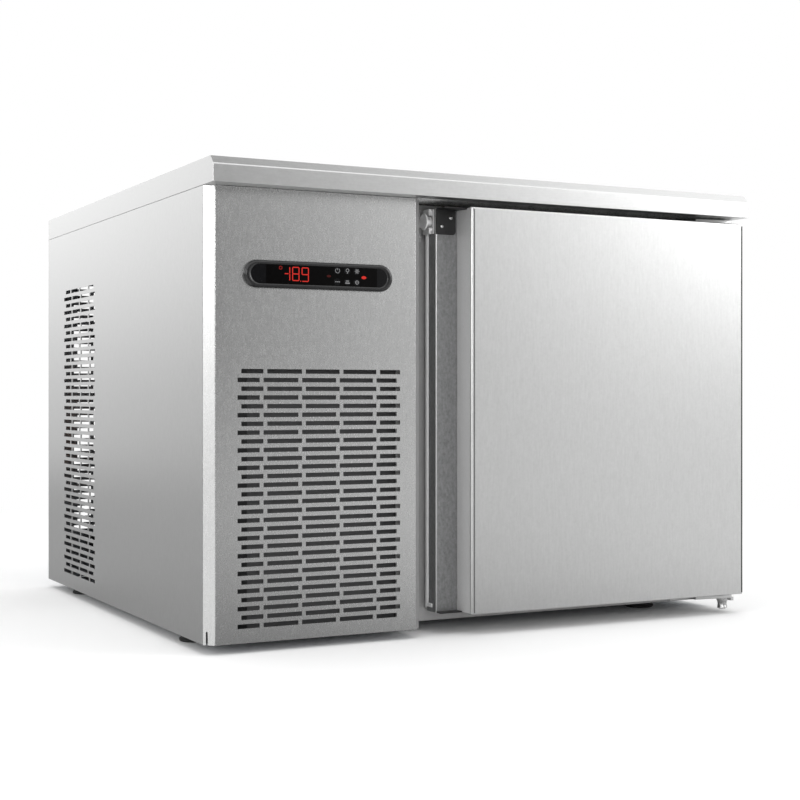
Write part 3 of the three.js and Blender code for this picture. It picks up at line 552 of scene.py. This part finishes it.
coil_low, coil_high = in_mm("evaporator_coil")
plate_left, plate_right = coil_low.x + 14, coil_high.x - 14
fins = fin_stack(plate_left, plate_right, coil_low.y, coil_high.y, coil_low.z + 2, coil_high.z - 2,
                 pitch=4, thickness=0.3)
piece("evaporator_fins", fins, "aluminium_fins", bare_aluminium, node="evaporator_coil")
end_plates = together(*(
    block((x - 0.8, coil_low.y - 1, coil_low.z), (x + 0.8, coil_high.y, coil_high.z))
    for x in (plate_left, plate_right)
))
piece("evaporator_end_plates", end_plates, "galvanised_steel", zinc)
tubes = coil_tubes(plate_left - 1, plate_right + 1, (coil_low.y + 16, coil_low.y + 48), coil_low.z + 8,
                   coil_high.z - 8, pitch=25, radius=4.8)
piece("evaporator_tubes", tubes, "copper_pipe", copper)
tray_low, tray_high = in_mm("drip_tray")
dressed("drip_tray_folded", "drip_tray", "stainless_cabinet", satin_across, 1.2, 80, 100,
        lambda x, y, z: 64 < z < 82 and not tray_low.y + 1 < y < tray_high.y - 8)


# ------------ evaporator fan
# A stainless baffle with a rolled inlet, a welded wire guard on four legs, five twisted blades moulded with
# their hub, and a motor hung on its own bracket. Guard, inlet and motor are screwed to the baffle.
chrome = finish("bright_chrome", (0.66, 0.67, 0.68), 1, (0.1, 0.16), 500, 0.03, bump=0)
black_paint = finish("black_paint", (0.014, 0.014, 0.015), 0, (0.25, 0.4), 300, 0.2)


def wire_ring(centre, radius, wire_radius):
    """A ring of round wire square to Y."""
    section = [(radius + wire_radius * math.cos(turn), wire_radius * math.sin(turn))
               for turn in (i * math.tau / 8 for i in range(9))]
    return turned(section, centre, (0, 1, 0), 56)


def about(centre, angle, radius, y):
    """The point at an angle and a radius from a centre, in a plane square to Y."""
    return (centre.x + radius * math.cos(angle), y, centre.z + radius * math.sin(angle))


def even_turns(count):
    return [(i + 0.5) * math.tau / count for i in range(count)]


def fan_blades(centre, radius, hub, root, tip, thickness):
    """Five blades about Y on a hub with a dished nose; root and tip give half chord and pitch in degrees."""
    count, tip_from, full_sweep, camber_share = 5, 0.8, math.radians(14), 0.09
    shells = []
    for number in range(count):
        blade = bmesh.new()
        bmesh.ops.create_grid(blade, x_segments=8, y_segments=7, size=1)
        for vert in blade.verts:
            along, across = (vert.co.x + 1) / 2, vert.co.y
            half = root[0] + (tip[0] - root[0]) * math.sin(along * math.pi / 2)
            if along > tip_from:
                half *= 1 - 2.2 * (along - tip_from) ** 1.5
            pitch = math.radians(root[1] + (tip[1] - root[1]) * along)
            out = hub - 2 + (radius - hub + 2) * along
            camber = (1 - across * across) * camber_share * half
            chord = across * half
            flat = Vector((out, chord * math.sin(pitch) - camber, chord * math.cos(pitch)))
            vert.co = Matrix.Rotation(full_sweep * along ** 2, 3, "Y") @ flat * MM
        face_outwards(blade)
        bmesh.ops.solidify(blade, geom=blade.faces, thickness=thickness * MM)
        bmesh.ops.rotate(blade, verts=blade.verts, cent=(0, 0, 0),
                         matrix=Matrix.Rotation(number * math.tau / count, 3, "Y"))
        bmesh.ops.translate(blade, verts=blade.verts, vec=Vector(centre) * MM)
        shells.append(blade)
    deep = max(root[0] * math.sin(math.radians(root[1])), 6)
    shells.append(turned(
        [(0, deep), (4, deep), (4, deep - 1.5), (hub * 0.55, deep - 1.5), (hub * 0.62, deep),
         (hub - 2, deep), (hub, deep - 2), (hub, -deep + 1), (hub - 1, -deep), (0, -deep)],
        centre, (0, -1, 0), 40,
    ))
    return together(*shells)


def rolled_lip(centre, radius, flange, way, lift):
    """A ring of sheet about Y that ends in a rolled lip with a flange, turned one way or the other."""
    section = [(0, -7), (0, 1), (0.8, 3), (2.8, 4), (flange, 4), (flange, 2.8), (3, 2.8), (1.7, 2),
               (1.2, 0.6), (1.2, -7), (0, -7)]
    return turned([(radius + out, way * along + lift) for out, along in section], centre, (0, 1, 0), 72)


fan_low, fan_high = in_mm("evaporator_fan_guard")
fan_centre = (fan_low + fan_high) / 2
fan_reach = (fan_high.x - fan_low.x) / 2 - 1.5
guard_front = fan_low.y + 2
baffle_low, baffle_high = in_mm("evaporator_fan_panel")
coat(satin_across, "evaporator_fan_panel")
inlet = rolled_lip((fan_centre.x, baffle_low.y, fan_centre.z), radius=104.2, flange=6.3, way=-1, lift=0)
piece("evaporator_fan_inlet", inlet, "stainless_cabinet", satin_deep)
inner_ring, ring_gaps = 24, 9
rings = [wire_ring((fan_centre.x, guard_front, fan_centre.z),
                   inner_ring + i * (fan_reach - inner_ring) / ring_gaps, 1.1) for i in range(ring_gaps + 1)]
spokes = [
    rod(about(fan_centre, angle, inner_ring - 4, guard_front - 0.5),
        about(fan_centre, angle, fan_reach, guard_front - 0.5), 1.5)
    for angle in even_turns(6)
]
corners = even_turns(4)
legs = [
    rod(*(about(fan_centre, angle, fan_reach, y) for y in (guard_front, baffle_low.y)), 1.5)
    for angle in corners
]
piece("evaporator_fan_wire_guard", together(*rings, *spokes, *legs), "bright_hardware",
      chrome, node="evaporator_fan_guard")
screw_places = [(x, baffle_low.y, z) for x in (baffle_low.x + 14, baffle_high.x - 14)
                for z in (baffle_low.z + 16, baffle_high.z - 16)]
screw_places += [about(fan_centre, angle, fan_reach + 6, baffle_low.y) for angle in corners]
baffle_screws = together(*(screw(place, (0, -1, 0)) for place in screw_places))
piece("evaporator_baffle_screws", baffle_screws, "bright_hardware", bright_steel)
blade_low, blade_high = in_mm("evaporator_fan_blades")
blade_centre = (fan_centre.x, (blade_low.y + blade_high.y) / 2, fan_centre.z)
blades = fan_blades(blade_centre, radius=97, hub=26, root=(17, 29), tip=(23.5, 19), thickness=1.6)
piece("evaporator_fan_twisted_blades", blades, "black_plastic", black_plastic, node="evaporator_fan_blades")
dressed("evaporator_motor_on_bracket", "evaporator_fan_motor", "black_enamel", black_paint, 0.6)


# ------------ condenser
# Black-coated fins on copper tubes behind a grey filter mat, in a frame with flanges towards the slotted
# panel; the left flange's black is partly painted shade, for the dark left ends of the slots. A pressed
# shroud with a rolled outlet leads the air to five aluminium blades and their motor.
black_fins = finish("black_coated_fins", 0.1, 0.5, (0.45, 0.6), 300, 0.15)
filter_grey = finish("grey_filter_mat", (0.075, 0.075, 0.077), 0, (0.8, 0.95), 900, 0.15, 700, 0.3)
unit_low, unit_high = in_mm("condenser_coil")
mat_left, frame_right_edge = -336.7, -128.5
fins_left, fins_right = unit_low.x + 6, -137
flange_front = unit_low.y - 1.2
fins = fin_stack(fins_left, fins_right, unit_low.y + 0.4, unit_low.y + 24, unit_low.z + 2, unit_high.z - 2,
                 pitch=2.1, thickness=0.35)
piece("condenser_fins", fins, "aluminium_fins", black_fins, node="condenser_coil")
tubes = coil_tubes(fins_left, fins_right, (unit_low.y + 7, unit_low.y + 18), unit_low.z + 8, unit_high.z - 8,
                   pitch=24, radius=3.6)
piece("condenser_tubes", tubes, "copper_pipe", copper)
mat = block((mat_left, unit_low.y - 1, unit_low.z + 1), (fins_right, unit_low.y + 0.2, unit_high.z - 1))
piece("condenser_filter_mat", mat, "black_plastic", filter_grey)
frame_right = together(
    block((fins_right, unit_low.y, unit_low.z), (fins_right + 1, unit_high.y, unit_high.z)),
    block((fins_right, flange_front, unit_low.z), (frame_right_edge, unit_low.y - 0.2, unit_high.z)),
)
piece("condenser_frame_right", frame_right, "galvanised_steel", blasted_steel)
# a frame flange whose black paint is partly painted shade, for the dark left ends of the slots
frame_left = together(
    block((unit_low.x, flange_front, unit_low.z), (mat_left, unit_low.y, unit_high.z)),
    block((unit_low.x, flange_front, unit_low.z), (unit_low.x + 1.2, unit_high.y, unit_high.z)),
)
round_over(frame_left, folds(frame_left, 80, 100, lambda x, y, z: 20 < z < unit_high.z - 6), 0.5, 2)
piece("condenser_frame_left", frame_left, "black_enamel", black_paint)
dressed("condenser_shroud_pressed", "condenser_shroud", "galvanised_steel", zinc, 1.5, 80, 100,
        lambda x, y, z: min(x - unit_low.x, unit_high.x - x) < 0.2)
whirl_low, whirl_high = in_mm("condenser_fan_blades")
whirl = (-250, (whirl_low.y + whirl_high.y) / 2, 184)
outlet = rolled_lip((whirl[0], in_mm("condenser_shroud")[1].y, whirl[2]), radius=112.6, flange=5.4, way=1,
                    lift=4)
piece("condenser_shroud_outlet", outlet, "galvanised_steel", zinc)
blades = fan_blades(whirl, radius=107, hub=28, root=(21, 32), tip=(30, 21), thickness=1.4)
piece("condenser_fan_twisted_blades", blades, "aluminium_blades", bare_aluminium,
      node="condenser_fan_blades")
dressed("condenser_motor_on_bracket", "condenser_fan_motor", "black_enamel", black_paint, 0.8)


# ------------ compressor, receiver and pipes
# A welded hermetic shell on four rubber mounts, enamelled black, with a plastic terminal cover; a steel
# receiver, a spun copper drier and a folded electrical box. Each round copper pipe is bent from one length
# and brazed at its ends.
casing = [(0, 40), (30, 40.5), (55, 44), (72, 52), (80, 62), (82, 72), (82, 143), (85, 145), (85, 151),
          (82, 153), (82, 190), (79.5, 204), (72, 217), (56, 227), (32, 231.4), (0, 232)]
piece("compressor_shell", turned(casing, (-262, 0, 0), steps=64), "black_enamel", black_paint,
      node="compressor")
dressed("compressor_plate_on_mounts", "compressor_base", "black_enamel", black_paint, 1.5)
dressed("terminal_cover_moulded", "compressor_terminal_cover", "black_plastic", black_plastic, 4, steps=4)
receiver_place = (-334, 190, in_mm("liquid_receiver")[0].z)
tank = [(0, 0), (22, 0.8), (33, 4), (38.6, 10), (40, 18), (40, 132), (38.6, 140), (33, 146), (22, 149.2),
        (0, 150)]
piece("liquid_receiver_tank", turned(tank, receiver_place, steps=48), "black_enamel", black_paint,
      node="liquid_receiver")
drier_low, drier_high = in_mm("filter_drier")
drier = [(0, 0), (4, 0), (4, 28), (5.4, 32), (9, 36), (13.4, 40), (15, 45), (15, 115), (13.4, 120), (9, 124),
         (5.6, 128), (4.4, 131), (4.4, 140), (0, 140)]
piece("filter_drier_spun", turned(drier, (*receiver_place[:2], drier_low.z)), "copper_pipe", copper,
      node="filter_drier")


def pipe_run(name, node, radius, points):
    """A copper pipe bent through a chain of points."""
    data = bpy.data.curves.new(name, "CURVE")
    data.dimensions = "3D"
    data.bevel_depth = radius * MM
    data.bevel_resolution = 3
    data.resolution_u = 8
    data.use_fill_caps = True
    line = data.splines.new("BEZIER")
    line.bezier_points.add(len(points) - 1)
    for knot, point in zip(line.bezier_points, points):
        knot.co = Vector(point) * MM
        knot.handle_left_type = knot.handle_right_type = "AUTO"
    data.materials.append(copper)
    thing = placed(name, data)
    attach(thing, "chiller_body")
    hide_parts(node)


outlet_x = panel_high.x - 0.3
pipe_run("discharge_pipe", "discharge_line", 4, [
    (-232, 0, 233), (-232, 0, 300), (-228, -30, 372), (-202, -180, 392), (-196, -290, 392),
    (-178, -320, 378), (-178, -320, 346.4)])
pipe_run("suction_pipe", "suction_line", 6, [
    (-179, 0, 96), (-158, 0, 97), (-144, 14, 120), (-146, 120, 330), (-136, 200, 400), (-126, 214, 404),
    (outlet_x, 214, 404)])
pipe_run("liquid_pipe", "liquid_line", 3, [
    (*receiver_place[:2], drier_high.z + 0.3), (-334, 192, 340), (-318, 206, 366), (-220, 236, 372),
    (-136, 240, 372), (outlet_x, 240, 372)])
box_low, box_high = in_mm("electrical_box")
dressed("electrical_box_folded", "electrical_box", "galvanised_steel", zinc, 1.2)
box_screws = [screw((box_low.x, y, z), (-1, 0, 0), 2.8, 1.6) for y in (box_low.y + 10, box_high.y - 10)
              for z in (box_low.z + 10, box_high.z - 10)]
piece("electrical_box_screws", together(*box_screws), "bright_hardware", bright_steel)


# ------------ controller
# A black moulded bezel round a dark acrylic window, with red segments lit behind it, and six round keys
# flush with the window, each printed with a pale sign.
window_black = finish("display_window", (0.003, 0.003, 0.0036), 0, (0.1, 0.14), 200, 0.3, bump=0,
                      Specular_IOR_Level=0.2)
display_black = finish("display_filter", (0.0012, 0.001, 0.001), 0, (0.1, 0.14), 200, 0.3, bump=0,
                       Specular_IOR_Level=0.1)
bezel_black = finish("glossy_bezel_plastic", (0.008, 0.008, 0.0085), 0, (0.2, 0.26), 900, 0.2)


def arc(centre, radius, start, end, steps):
    """Points on an arc, its angles in degrees from the first axis towards the second."""
    return [(centre[0] + radius * math.cos(math.radians(start + (end - start) * i / steps)),
             centre[1] + radius * math.sin(math.radians(start + (end - start) * i / steps)))
            for i in range(steps + 1)]


bezel_low, bezel_high = in_mm("controller_bezel")
bezel = welded("controller_bezel")
for vert in bezel.verts:
    vert.co.y = max(vert.co.y, (panel_low.y - 4.2) * MM)
# the crown's section from its outer foot to the window: (narrower at each end, at each side, height)
CROWN = [(0, 0, 0.05), (0, 0, 2.1), (0.35, 0.3, 3.2), (1.1, 0.9, 4.3), (2.2, 1.9, 5.1), (4, 3.2, 5.45),
         (6.2, 4.4, 5.3), (8, 5.1, 4.9), (8.3, 5.3, 4.4), (8.3, 5.3, 0.5)]
crown = bmesh.new()
rings = []
middle = (bezel_low.z + bezel_high.z) / 2
for ends, sides, out in CROWN:
    radius = (bezel_high.z - bezel_low.z) / 2 - sides
    outline = [*arc((bezel_high.x - ends - radius, middle), radius, -90, 90, 16),
               *arc((bezel_low.x + ends + radius, middle), radius, 90, 270, 16)]
    ring = [crown.verts.new(Vector((x, panel_low.y - out, z)) * MM) for x, z in outline]
    rings.append([crown.edges.new(pair) for pair in zip(ring, ring[1:] + ring[:1])])
for one, other in zip(rings, rings[1:] + rings[:1]):
    bmesh.ops.bridge_loops(crown, edges=one + other)
face_outwards(crown)
piece("controller_moulded_bezel", together(bezel, crown), "black_plastic", bezel_black,
      node="controller_bezel")
filter_left, filter_right = -321.5, -174.3
window = welded("controller_window")
round_over(window, folds(window, 80, 120), 0.15, 2)
for cut in (filter_left, filter_right):
    bmesh.ops.bisect_plane(window, geom=[*window.verts, *window.edges, *window.faces], dist=1e-7,
                           plane_co=(cut * MM, 0, 0), plane_no=(1, 0, 0))
for face in window.faces:
    face.material_index = int(filter_left < face.calc_center_median().x / MM < filter_right)
piece("controller_acrylic_window", window, "display_window", window_black, display_black,
      node="controller_window")
coat(black_plastic, "controller_housing")


def lit(name, colour):
    """A light behind dark plastic: nearly black but for its own glow."""
    unlit = tuple(c * 0.05 for c in colour)
    return finish(name, unlit, 0, (0.3, 0.4), 600, 0.1, bump=0, Specular_IOR_Level=0.1,
                  Emission_Color=(*colour, 1), Emission_Strength=1.0)


red_light = lit("red_segment_light", (0.62, 0.03, 0.022))
faint_red = lit("faint_red_light", (0.22, 0.012, 0.01))
dim_red = lit("dim_red_light", (0.05, 0.006, 0.005))
print_grey = finish("pale_key_print", (0.19, 0.19, 0.195), 0, (0.5, 0.6), 900, 0.1, bump=0)
SUNK, PROUD = 0.3, 0.1  # how far a sign goes into the face that it is on, and stands out of it
face_y = in_mm("controller_window")[0].y


def plate(outline, near, far):
    """A flat outline of X and Z, made solid between two planes square to Y."""
    shell = bmesh.new()
    face = shell.faces.new([shell.verts.new(Vector((x, near, z)) * MM) for x, z in outline])
    moved = bmesh.ops.extrude_face_region(shell, geom=[face])["geom"]
    bmesh.ops.translate(shell, verts=[v for v in moved if isinstance(v, bmesh.types.BMVert)],
                        vec=(0, (far - near) * MM, 0))
    face_outwards(shell)
    return shell


def stroke(x0, z0, x1, z1, width):
    """A lit or printed bar with pointed ends between two points."""
    start, end = Vector((x0, z0)), Vector((x1, z1))
    run = (end - start).normalized()
    side = Vector((-run.y, run.x)) * width / 2
    tuck = run * width / 2
    outline = [start, start + tuck + side, end - tuck + side, end, end - tuck - side, start + tuck - side]
    return plate(outline, face_y + SUNK, face_y - PROUD)


SEGMENTS = {"1": "bc", "8": "abcdefg", "9": "abcdfg", "-": "g"}


def digit(sign, left, right, low, high):
    """A seven-segment figure."""
    middle = (low + high) / 2
    ends = {"a": (left, high, right, high), "b": (right, high, right, middle),
            "c": (right, middle, right, low), "d": (left, low, right, low), "e": (left, middle, left, low),
            "f": (left, high, left, middle), "g": (left, middle, right, middle)}
    return [stroke(*ends[name], 1.2) for name in SEGMENTS[sign]]


figures = [
    *digit("-", -297.6, -292.3, 446.7, 463.9), *digit("1", -297, -290.9, 447.2, 463.6),
    *digit("8", -287.2, -278.9, 447.4, 463.4), *digit("9", -274.9, -266.6, 446.8, 463.2),
    stroke(-277.6, 446.9, -275.9, 446.9, 1.5),
]
piece("display_figures", together(*figures), "display_window", red_light)


def flat_ring(x, z, radius, width, gap=0.0):
    """A thin printed ring, open at the top by a share of its round."""
    if gap == 0:
        inner, thick = radius - width, SUNK + PROUD
        return turned([(inner, 0), (radius, 0), (radius, thick), (inner, thick), (inner, 0)],
                      (x, face_y + SUNK, z), (0, -1, 0), 24)
    start, end = 90 + 180 * gap, 450 - 180 * gap
    return plate(arc((x, z), radius, start, end, 20) + arc((x, z), radius - width, end, start, 20),
                 face_y + SUNK, face_y - PROUD)


piece("display_ring_sign", flat_ring(-302.7, 462.2, 2.3, 1.0), "display_window", faint_red)
for name, x, z, radius, thickness, longer, light in (
        ("display_lamp_on", -192.3, 454.1, 1.9, 0.4, 1.75, red_light),
        ("display_lamp_dim", -239.5, 454.3, 1.5, 0.35, 1.9, dim_red)):
    oval = turned([(0, 0), (radius, 0), (radius, thickness), (0, thickness)], (x, face_y + SUNK, z),
                  (0, -1, 0), 24)
    bmesh.ops.scale(oval, verts=oval.verts, vec=(longer, 1, 1),
                    space=Matrix.Translation(-Vector((x, face_y, z)) * MM))
    piece(name, oval, "display_window", light)

# a key's sign from its middle: rings (x, z, radius, width, gap), then bars (x and z of both ends, width)
STAR = [(3.3 * math.cos(turn), 3.3 * math.sin(turn)) for turn in (0, math.pi / 3, math.tau / 3)]
KEY_SIGNS = {
    "key_power": ([(0, 0, 3.1, 0.6, 0.16)], [(0, 0.6, 0, 3.1, 0.7)]),
    "key_lamp": ([(0, 0.8, 2.3, 0.7)], [(0, -3.4, 0, -1.4, 1.6)]),
    "key_chill": ([(0, 0, 2.2, 0.7)], [(x, z, -x, -z, 0.9) for x, z in STAR]),
    "key_aux": ([], [(-3.3, 0, -1.2, 0, 1.2), (-1, 0, 1, 0, 1.2), (1.2, 0, 3.3, 0, 1.2)]),
    "key_defrost": ([], [(-2.4, 1.4, 2.4, 1.4, 1.3), (-3.4, -1.2, 3.4, -1.2, 1.6)]),
    "key_set": ([(0, 0, 2.5, 0.9)], [(-0.9, 0, 0.9, 0, 0.9)]),
}
face_y = in_mm("key_power")[0].y  # the signs from here on lie on the caps
for key, (sign_rings, sign_bars) in KEY_SIGNS.items():
    key_low, key_high = in_mm(key)
    x, z = (key_low.x + key_high.x) / 2, (key_low.z + key_high.z) / 2
    radius = (key_high.x - key_low.x) / 2
    key_cap = turned([(0, 0), (radius, 0), (radius, 2.9), (radius - 0.15, 3.05), (0, 3.05)],
                     (x, key_high.y, z), (0, -1, 0))
    piece(key + "_cap", key_cap, "key_cap", window_black, node=key)
    sign = [flat_ring(x + right, z + up, *ring) for right, up, *ring in sign_rings]
    sign += [stroke(x + x0, z + z0, x + x1, z + z1, width) for x0, z0, x1, z1, width in sign_bars]
    piece(key + "_sign", together(*sign), "key_cap", print_grey, body=key)


# ------------ hinges and strike
# Two folded stainless brackets on the door frame carry the door on steel pins; the lower pin stands on a
# waisted barrel. The strike plate beside the latch is held by two oval-headed screws.
pin_steel = finish("turned_pin_steel", 0.5, 1, (0.2, 0.32), (300, 300, 900), 0.1)
for place in ("bottom", "top"):
    dressed("hinge_bracket_" + place, "hinge_%s_bracket" % place, "stainless_hardware", satin_across, 0.7)
pin_top = in_mm("hinge_bottom_pin")[1].z
barrel = turned(
    [(0, 4.4), (4.6, 4.4), (5.6, 4.9), (7.3, 6.0), (7.2, 7.2), (6.8, 8.6), (6.5, 10.2), (6.5, 12),
     (6.8, 13.8), (7.4, 15.8), (8.2, 17.4), (8.2, 19.7), (4, 19.7), (4, pin_top - 1), (3, pin_top),
     (0, pin_top)],
    (376, -360, 0), steps=40,
)
piece("hinge_lower_pin_turned", barrel, "stainless_hardware", pin_steel, node="hinge_bottom_pin")
coat(pin_steel, "hinge_top_pin")
dressed("strike_plate_broken_edges", "strike_plate", "stainless_hardware", blasted_steel, 0.5)
strike_face = in_mm("strike_plate")[1].y - 2.5
oval_screws = []
for z in (544.6, 516.5):
    head = screw((0, 0, 0), (0, -1, 0), 2.6, 1.2)
    bmesh.ops.scale(head, verts=head.verts, vec=(0.7, 1, 1.5))
    bmesh.ops.translate(head, verts=head.verts, vec=Vector((-82.2, strike_face, z)) * MM)
    oval_screws.append(head)
piece("strike_plate_screws", together(*oval_screws), "bright_hardware", blasted_steel)


# ------------ door
# A foamed door: an outer pan of satin sheet whose left edge is rolled into the grip, a folded strip set
# back beside it with a black cap at each end, and a pressed inner panel with the magnetic gasket and, along
# its free edge, a pale bead on a foot. The caps' black is partly painted shade, for the dark gap at the
# strip's ends. Two black strips down the pan's two edges are painted shade: the dark line where the rolled
# left edge turns away, and the shaded right edge.
seal_rubber = finish("pale_seal_rubber", 0.8, 0, (0.3, 0.4), 300, 0.03)
dull_steel = finish("dull_steel_strip", (0.25, 0.252, 0.254), 0.7, (0.44, 0.54), (300, 300, 120), 0.3, 380,
                    0.06)
skin_low, skin_high = in_mm("door_skin")
door_bottom, door_top = skin_low.z, skin_high.z


def bent_pan(line, bottom, top, edge, back):
    """An open-backed pan: a line of sheet run upwards, with rounded end edges and closed at both ends as
    far as its back points."""
    shell = bmesh.new()
    points = [shell.verts.new((x * MM, y * MM, bottom * MM)) for x, y in line]
    lines = [shell.edges.new(pair) for pair in zip(points, points[1:])]
    grown = bmesh.ops.extrude_edge_only(shell, edges=lines)["geom"]
    raised = [v for v in grown if isinstance(v, bmesh.types.BMVert)]
    bmesh.ops.translate(shell, verts=raised, vec=(0, 0, (top - bottom) * MM))
    by_place = {(round(v.co.x, 7), round(v.co.y, 7)): v for v in raised}
    high_points = [by_place[(round(v.co.x, 7), round(v.co.y, 7))] for v in points]
    for level, rim in ((bottom, points), (top, high_points)):
        shell.faces.new([*rim, *(shell.verts.new((x * MM, y * MM, level * MM)) for x, y in back)])
    face_outwards(shell)
    rims = [e for e in shell.edges if len(e.link_faces) == 2
            and abs(e.verts[0].co.z - e.verts[1].co.z) < 1e-6 and e.calc_face_angle() > 1]
    round_over(shell, rims, edge)
    return shell


wall = -43
roll_radius = 3.6
roll = (wall + 1.1, skin_low.y + roll_radius)
hinge_side = skin_high.x + 0.9
skin_line = [(wall - 2.7, -346.4), *arc(roll, roll_radius, 106, 270, 14),
             *arc((hinge_side - 1, skin_low.y + 1), 1, 270, 360, 4), (hinge_side, skin_high.y)]
skin = bent_pan(skin_line, door_bottom, door_top, 0.8, [(wall + 0.5, skin_high.y)])
lean_from, lean_slope = door_top - 2.6, 0.24
bmesh.ops.bisect_plane(skin, geom=[*skin.verts, *skin.edges, *skin.faces], dist=1e-7,
                       plane_co=(0, 0, lean_from * MM), plane_no=(0, 0, 1))
for vert in skin.verts:
    if vert.co.z > (lean_from + 0.1) * MM and vert.co.y < (skin_low.y + 3) * MM:
        vert.co.y += (vert.co.z - lean_from * MM) * lean_slope
for face in skin.faces:
    face.material_index = int(face.normal.x < -0.98 and face.calc_center_median().x < (wall + 3) * MM)
piece("door_outer_pan", skin, "stainless_door", satin_upright, blasted_steel, node="door_skin", sheet=1.0)
# black strips that are painted shade: the dark line beside the rolled left edge, and the shaded right edge
for name, left, right, depth in (("door_left_edge_painted_shade", -41.6, -40.5, 0.6),
                                 ("door_right_edge_painted_shade", hinge_side - 2.2, hinge_side + 0.1, 1.6)):
    shade_strip = block((left, skin_low.y - 0.05, door_bottom + 2), (right, skin_low.y + depth, door_top - 3))
    piece(name, shade_strip, "black_plastic", black_plastic, body="door")
strip_low, strip_high = in_mm("door_grip_strip")
strip_line = [(strip_high.x, strip_low.y),
              *reversed(arc((strip_low.x + 2, strip_low.y + 2), 2, 180, 270, 6)),
              (strip_low.x, strip_high.y)]
strip = bent_pan(strip_line, door_bottom, door_top, 0.8, [(strip_high.x, strip_high.y)])
for face in strip.faces:
    middle = face.calc_center_median() / MM
    face.material_index = int(middle.x < strip_low.x + 2 and middle.y < strip_low.y + 3)
piece("door_grip_strip_folded", strip, "stainless_door", dull_steel, satin_upright,
      node="door_grip_strip", sheet=1.0)
# end caps at the strip's ends whose black is partly painted shade, for the dark gap seen there
caps = together(*(
    block((strip_low.x + 1, front, bottom), (wall - 0.4, strip_low.y - 0.2, bottom + 2))
    for front, bottom in ((-358, door_bottom), (-370, door_top - 2))
))
round_over(caps, folds(caps, 60, 120), 0.4, 2)
piece("door_grip_end_caps", caps, "black_plastic", black_plastic, body="door")

inner_low, inner_high = in_mm("door_inner_panel")
pressed = block(inner_low, inner_high)
rear_face = max(pressed.faces, key=lambda face: face.calc_center_median().y)
bmesh.ops.inset_region(pressed, faces=[rear_face], thickness=30 * MM, depth=0)
bmesh.ops.inset_region(pressed, faces=[rear_face], thickness=7 * MM, depth=5 * MM)
round_over(pressed, folds(pressed, 20, 60), 2, 4)
piece("door_inner_pressed_panel", pressed, "stainless_door", satin_upright, node="door_inner_panel")
bead_radius, bead_bottom = 3.7, 33
bead = turned([(0, bead_bottom), (bead_radius, bead_bottom), (bead_radius, inner_high.z - 4),
               (0, inner_high.z - 4)], (inner_low.x + 1.4, inner_low.y - 1.6, 0), steps=20)
bead_foot = block((inner_low.x - 1.4, -337, bead_bottom), (inner_low.x + 1, inner_low.y, bead_bottom + 5))
round_over(bead_foot, folds(bead_foot, 60, 120), 0.8, 2)
piece("door_edge_bead", together(bead, bead_foot), "door_seal", seal_rubber, body="door")

seal_low, seal_high = in_mm("door_gasket")
seal_centre = (seal_low + seal_high) / 2
half_x, half_z = (seal_high.x - seal_low.x) / 2, (seal_high.z - seal_low.z) / 2
section = [(-3, 0), (-1, 0.9), (0, 2.4), (0, 5), (-1.2, 7.6), (-3.6, 9.6), (-7, 10.6), (-11, 10.7),
           (-15, 10), (-17, 8), (-17.4, 5.6), (-15.6, 3.6), (-15.8, 1.6), (-14.4, 0), (-3, 0)]
small_half = 30  # the section runs round a small square, whose corners then move out to their places
diagonal = math.sqrt(2)
seal = turned([((small_half + out) * diagonal, along) for out, along in section], (0, 0, 0), (0, 1, 0), 4)
bmesh.ops.rotate(seal, verts=seal.verts, cent=(0, 0, 0), matrix=Matrix.Rotation(math.pi / 4, 3, "Y"))
for vert in seal.verts:
    vert.co.x += math.copysign(half_x - small_half, vert.co.x) * MM
    vert.co.z += math.copysign(half_z - small_half, vert.co.z) * MM
bmesh.ops.translate(seal, verts=seal.verts, vec=Vector((seal_centre.x, seal_low.y, seal_centre.z)) * MM)
piece("door_magnetic_gasket", seal, "door_seal", seal_rubber, node="door_gasket")


# ------------ latch
# A black moulded cover plate with two domed screws on the grip strip, and beside it a bright bracket with
# two ears that carries a roller on a thick shank.
cover_low, cover_high = in_mm("latch_plate")
corner = 4.5
cover_outline = [(cover_low.x, cover_low.z),
                 *arc((cover_high.x - corner, cover_low.z + corner), corner, 270, 360, 6),
                 *arc((cover_high.x - corner, cover_high.z - corner), corner, 0, 90, 6),
                 (cover_low.x, cover_high.z)]
cover = plate(cover_outline, cover_high.y, cover_low.y)
round_over(cover, folds(cover, 60, 120, lambda x, y, z: y < cover_low.y + 0.3), 0.6)
piece("latch_cover_plate", cover, "black_plastic", black_plastic, node="latch_plate")
cover_screws = [screw((x, cover_low.y, z), (0, -1, 0), radius, 1.5)
                for x, z, radius in ((-56, 538.2, 2.7), (-69.2, 526.6, 2.5))]
piece("latch_cover_screws", together(*cover_screws), "bright_hardware", bright_steel, body="door")
dressed("latch_bracket_with_ears", "latch_bracket", "stainless_hardware", blasted_steel, 0.5)
shank_end = in_mm("latch_roller")[1].x
roller = turned(
    [(0, 11.5), (9.3, 11.5), (10.3, 11.3), (10.8, 10.8), (10.8, 9.9), (10.2, 9.3), (8.2, 9.1), (7.6, 8.5),
     (7.6, 2.4), (3, 2.4), (3, 0.1), (0, 0.1)],
    (shank_end + 0.1, -333, 533), (-1, 0, 0), 48,
)
for face in roller.faces:
    face.material_index = int(face.calc_center_median().x / MM > shank_end - 8.9)
roller_nylon = finish("pale_roller_face", 0.82, 0.2, (0.35, 0.45), 400, 0.04)
roller_steel = finish("turned_roller_shank", 0.7, 0.6, (0.28, 0.36), 400, 0.05)
piece("latch_roller_turned", roller, "bright_hardware", roller_nylon, roller_steel, node="latch_roller")
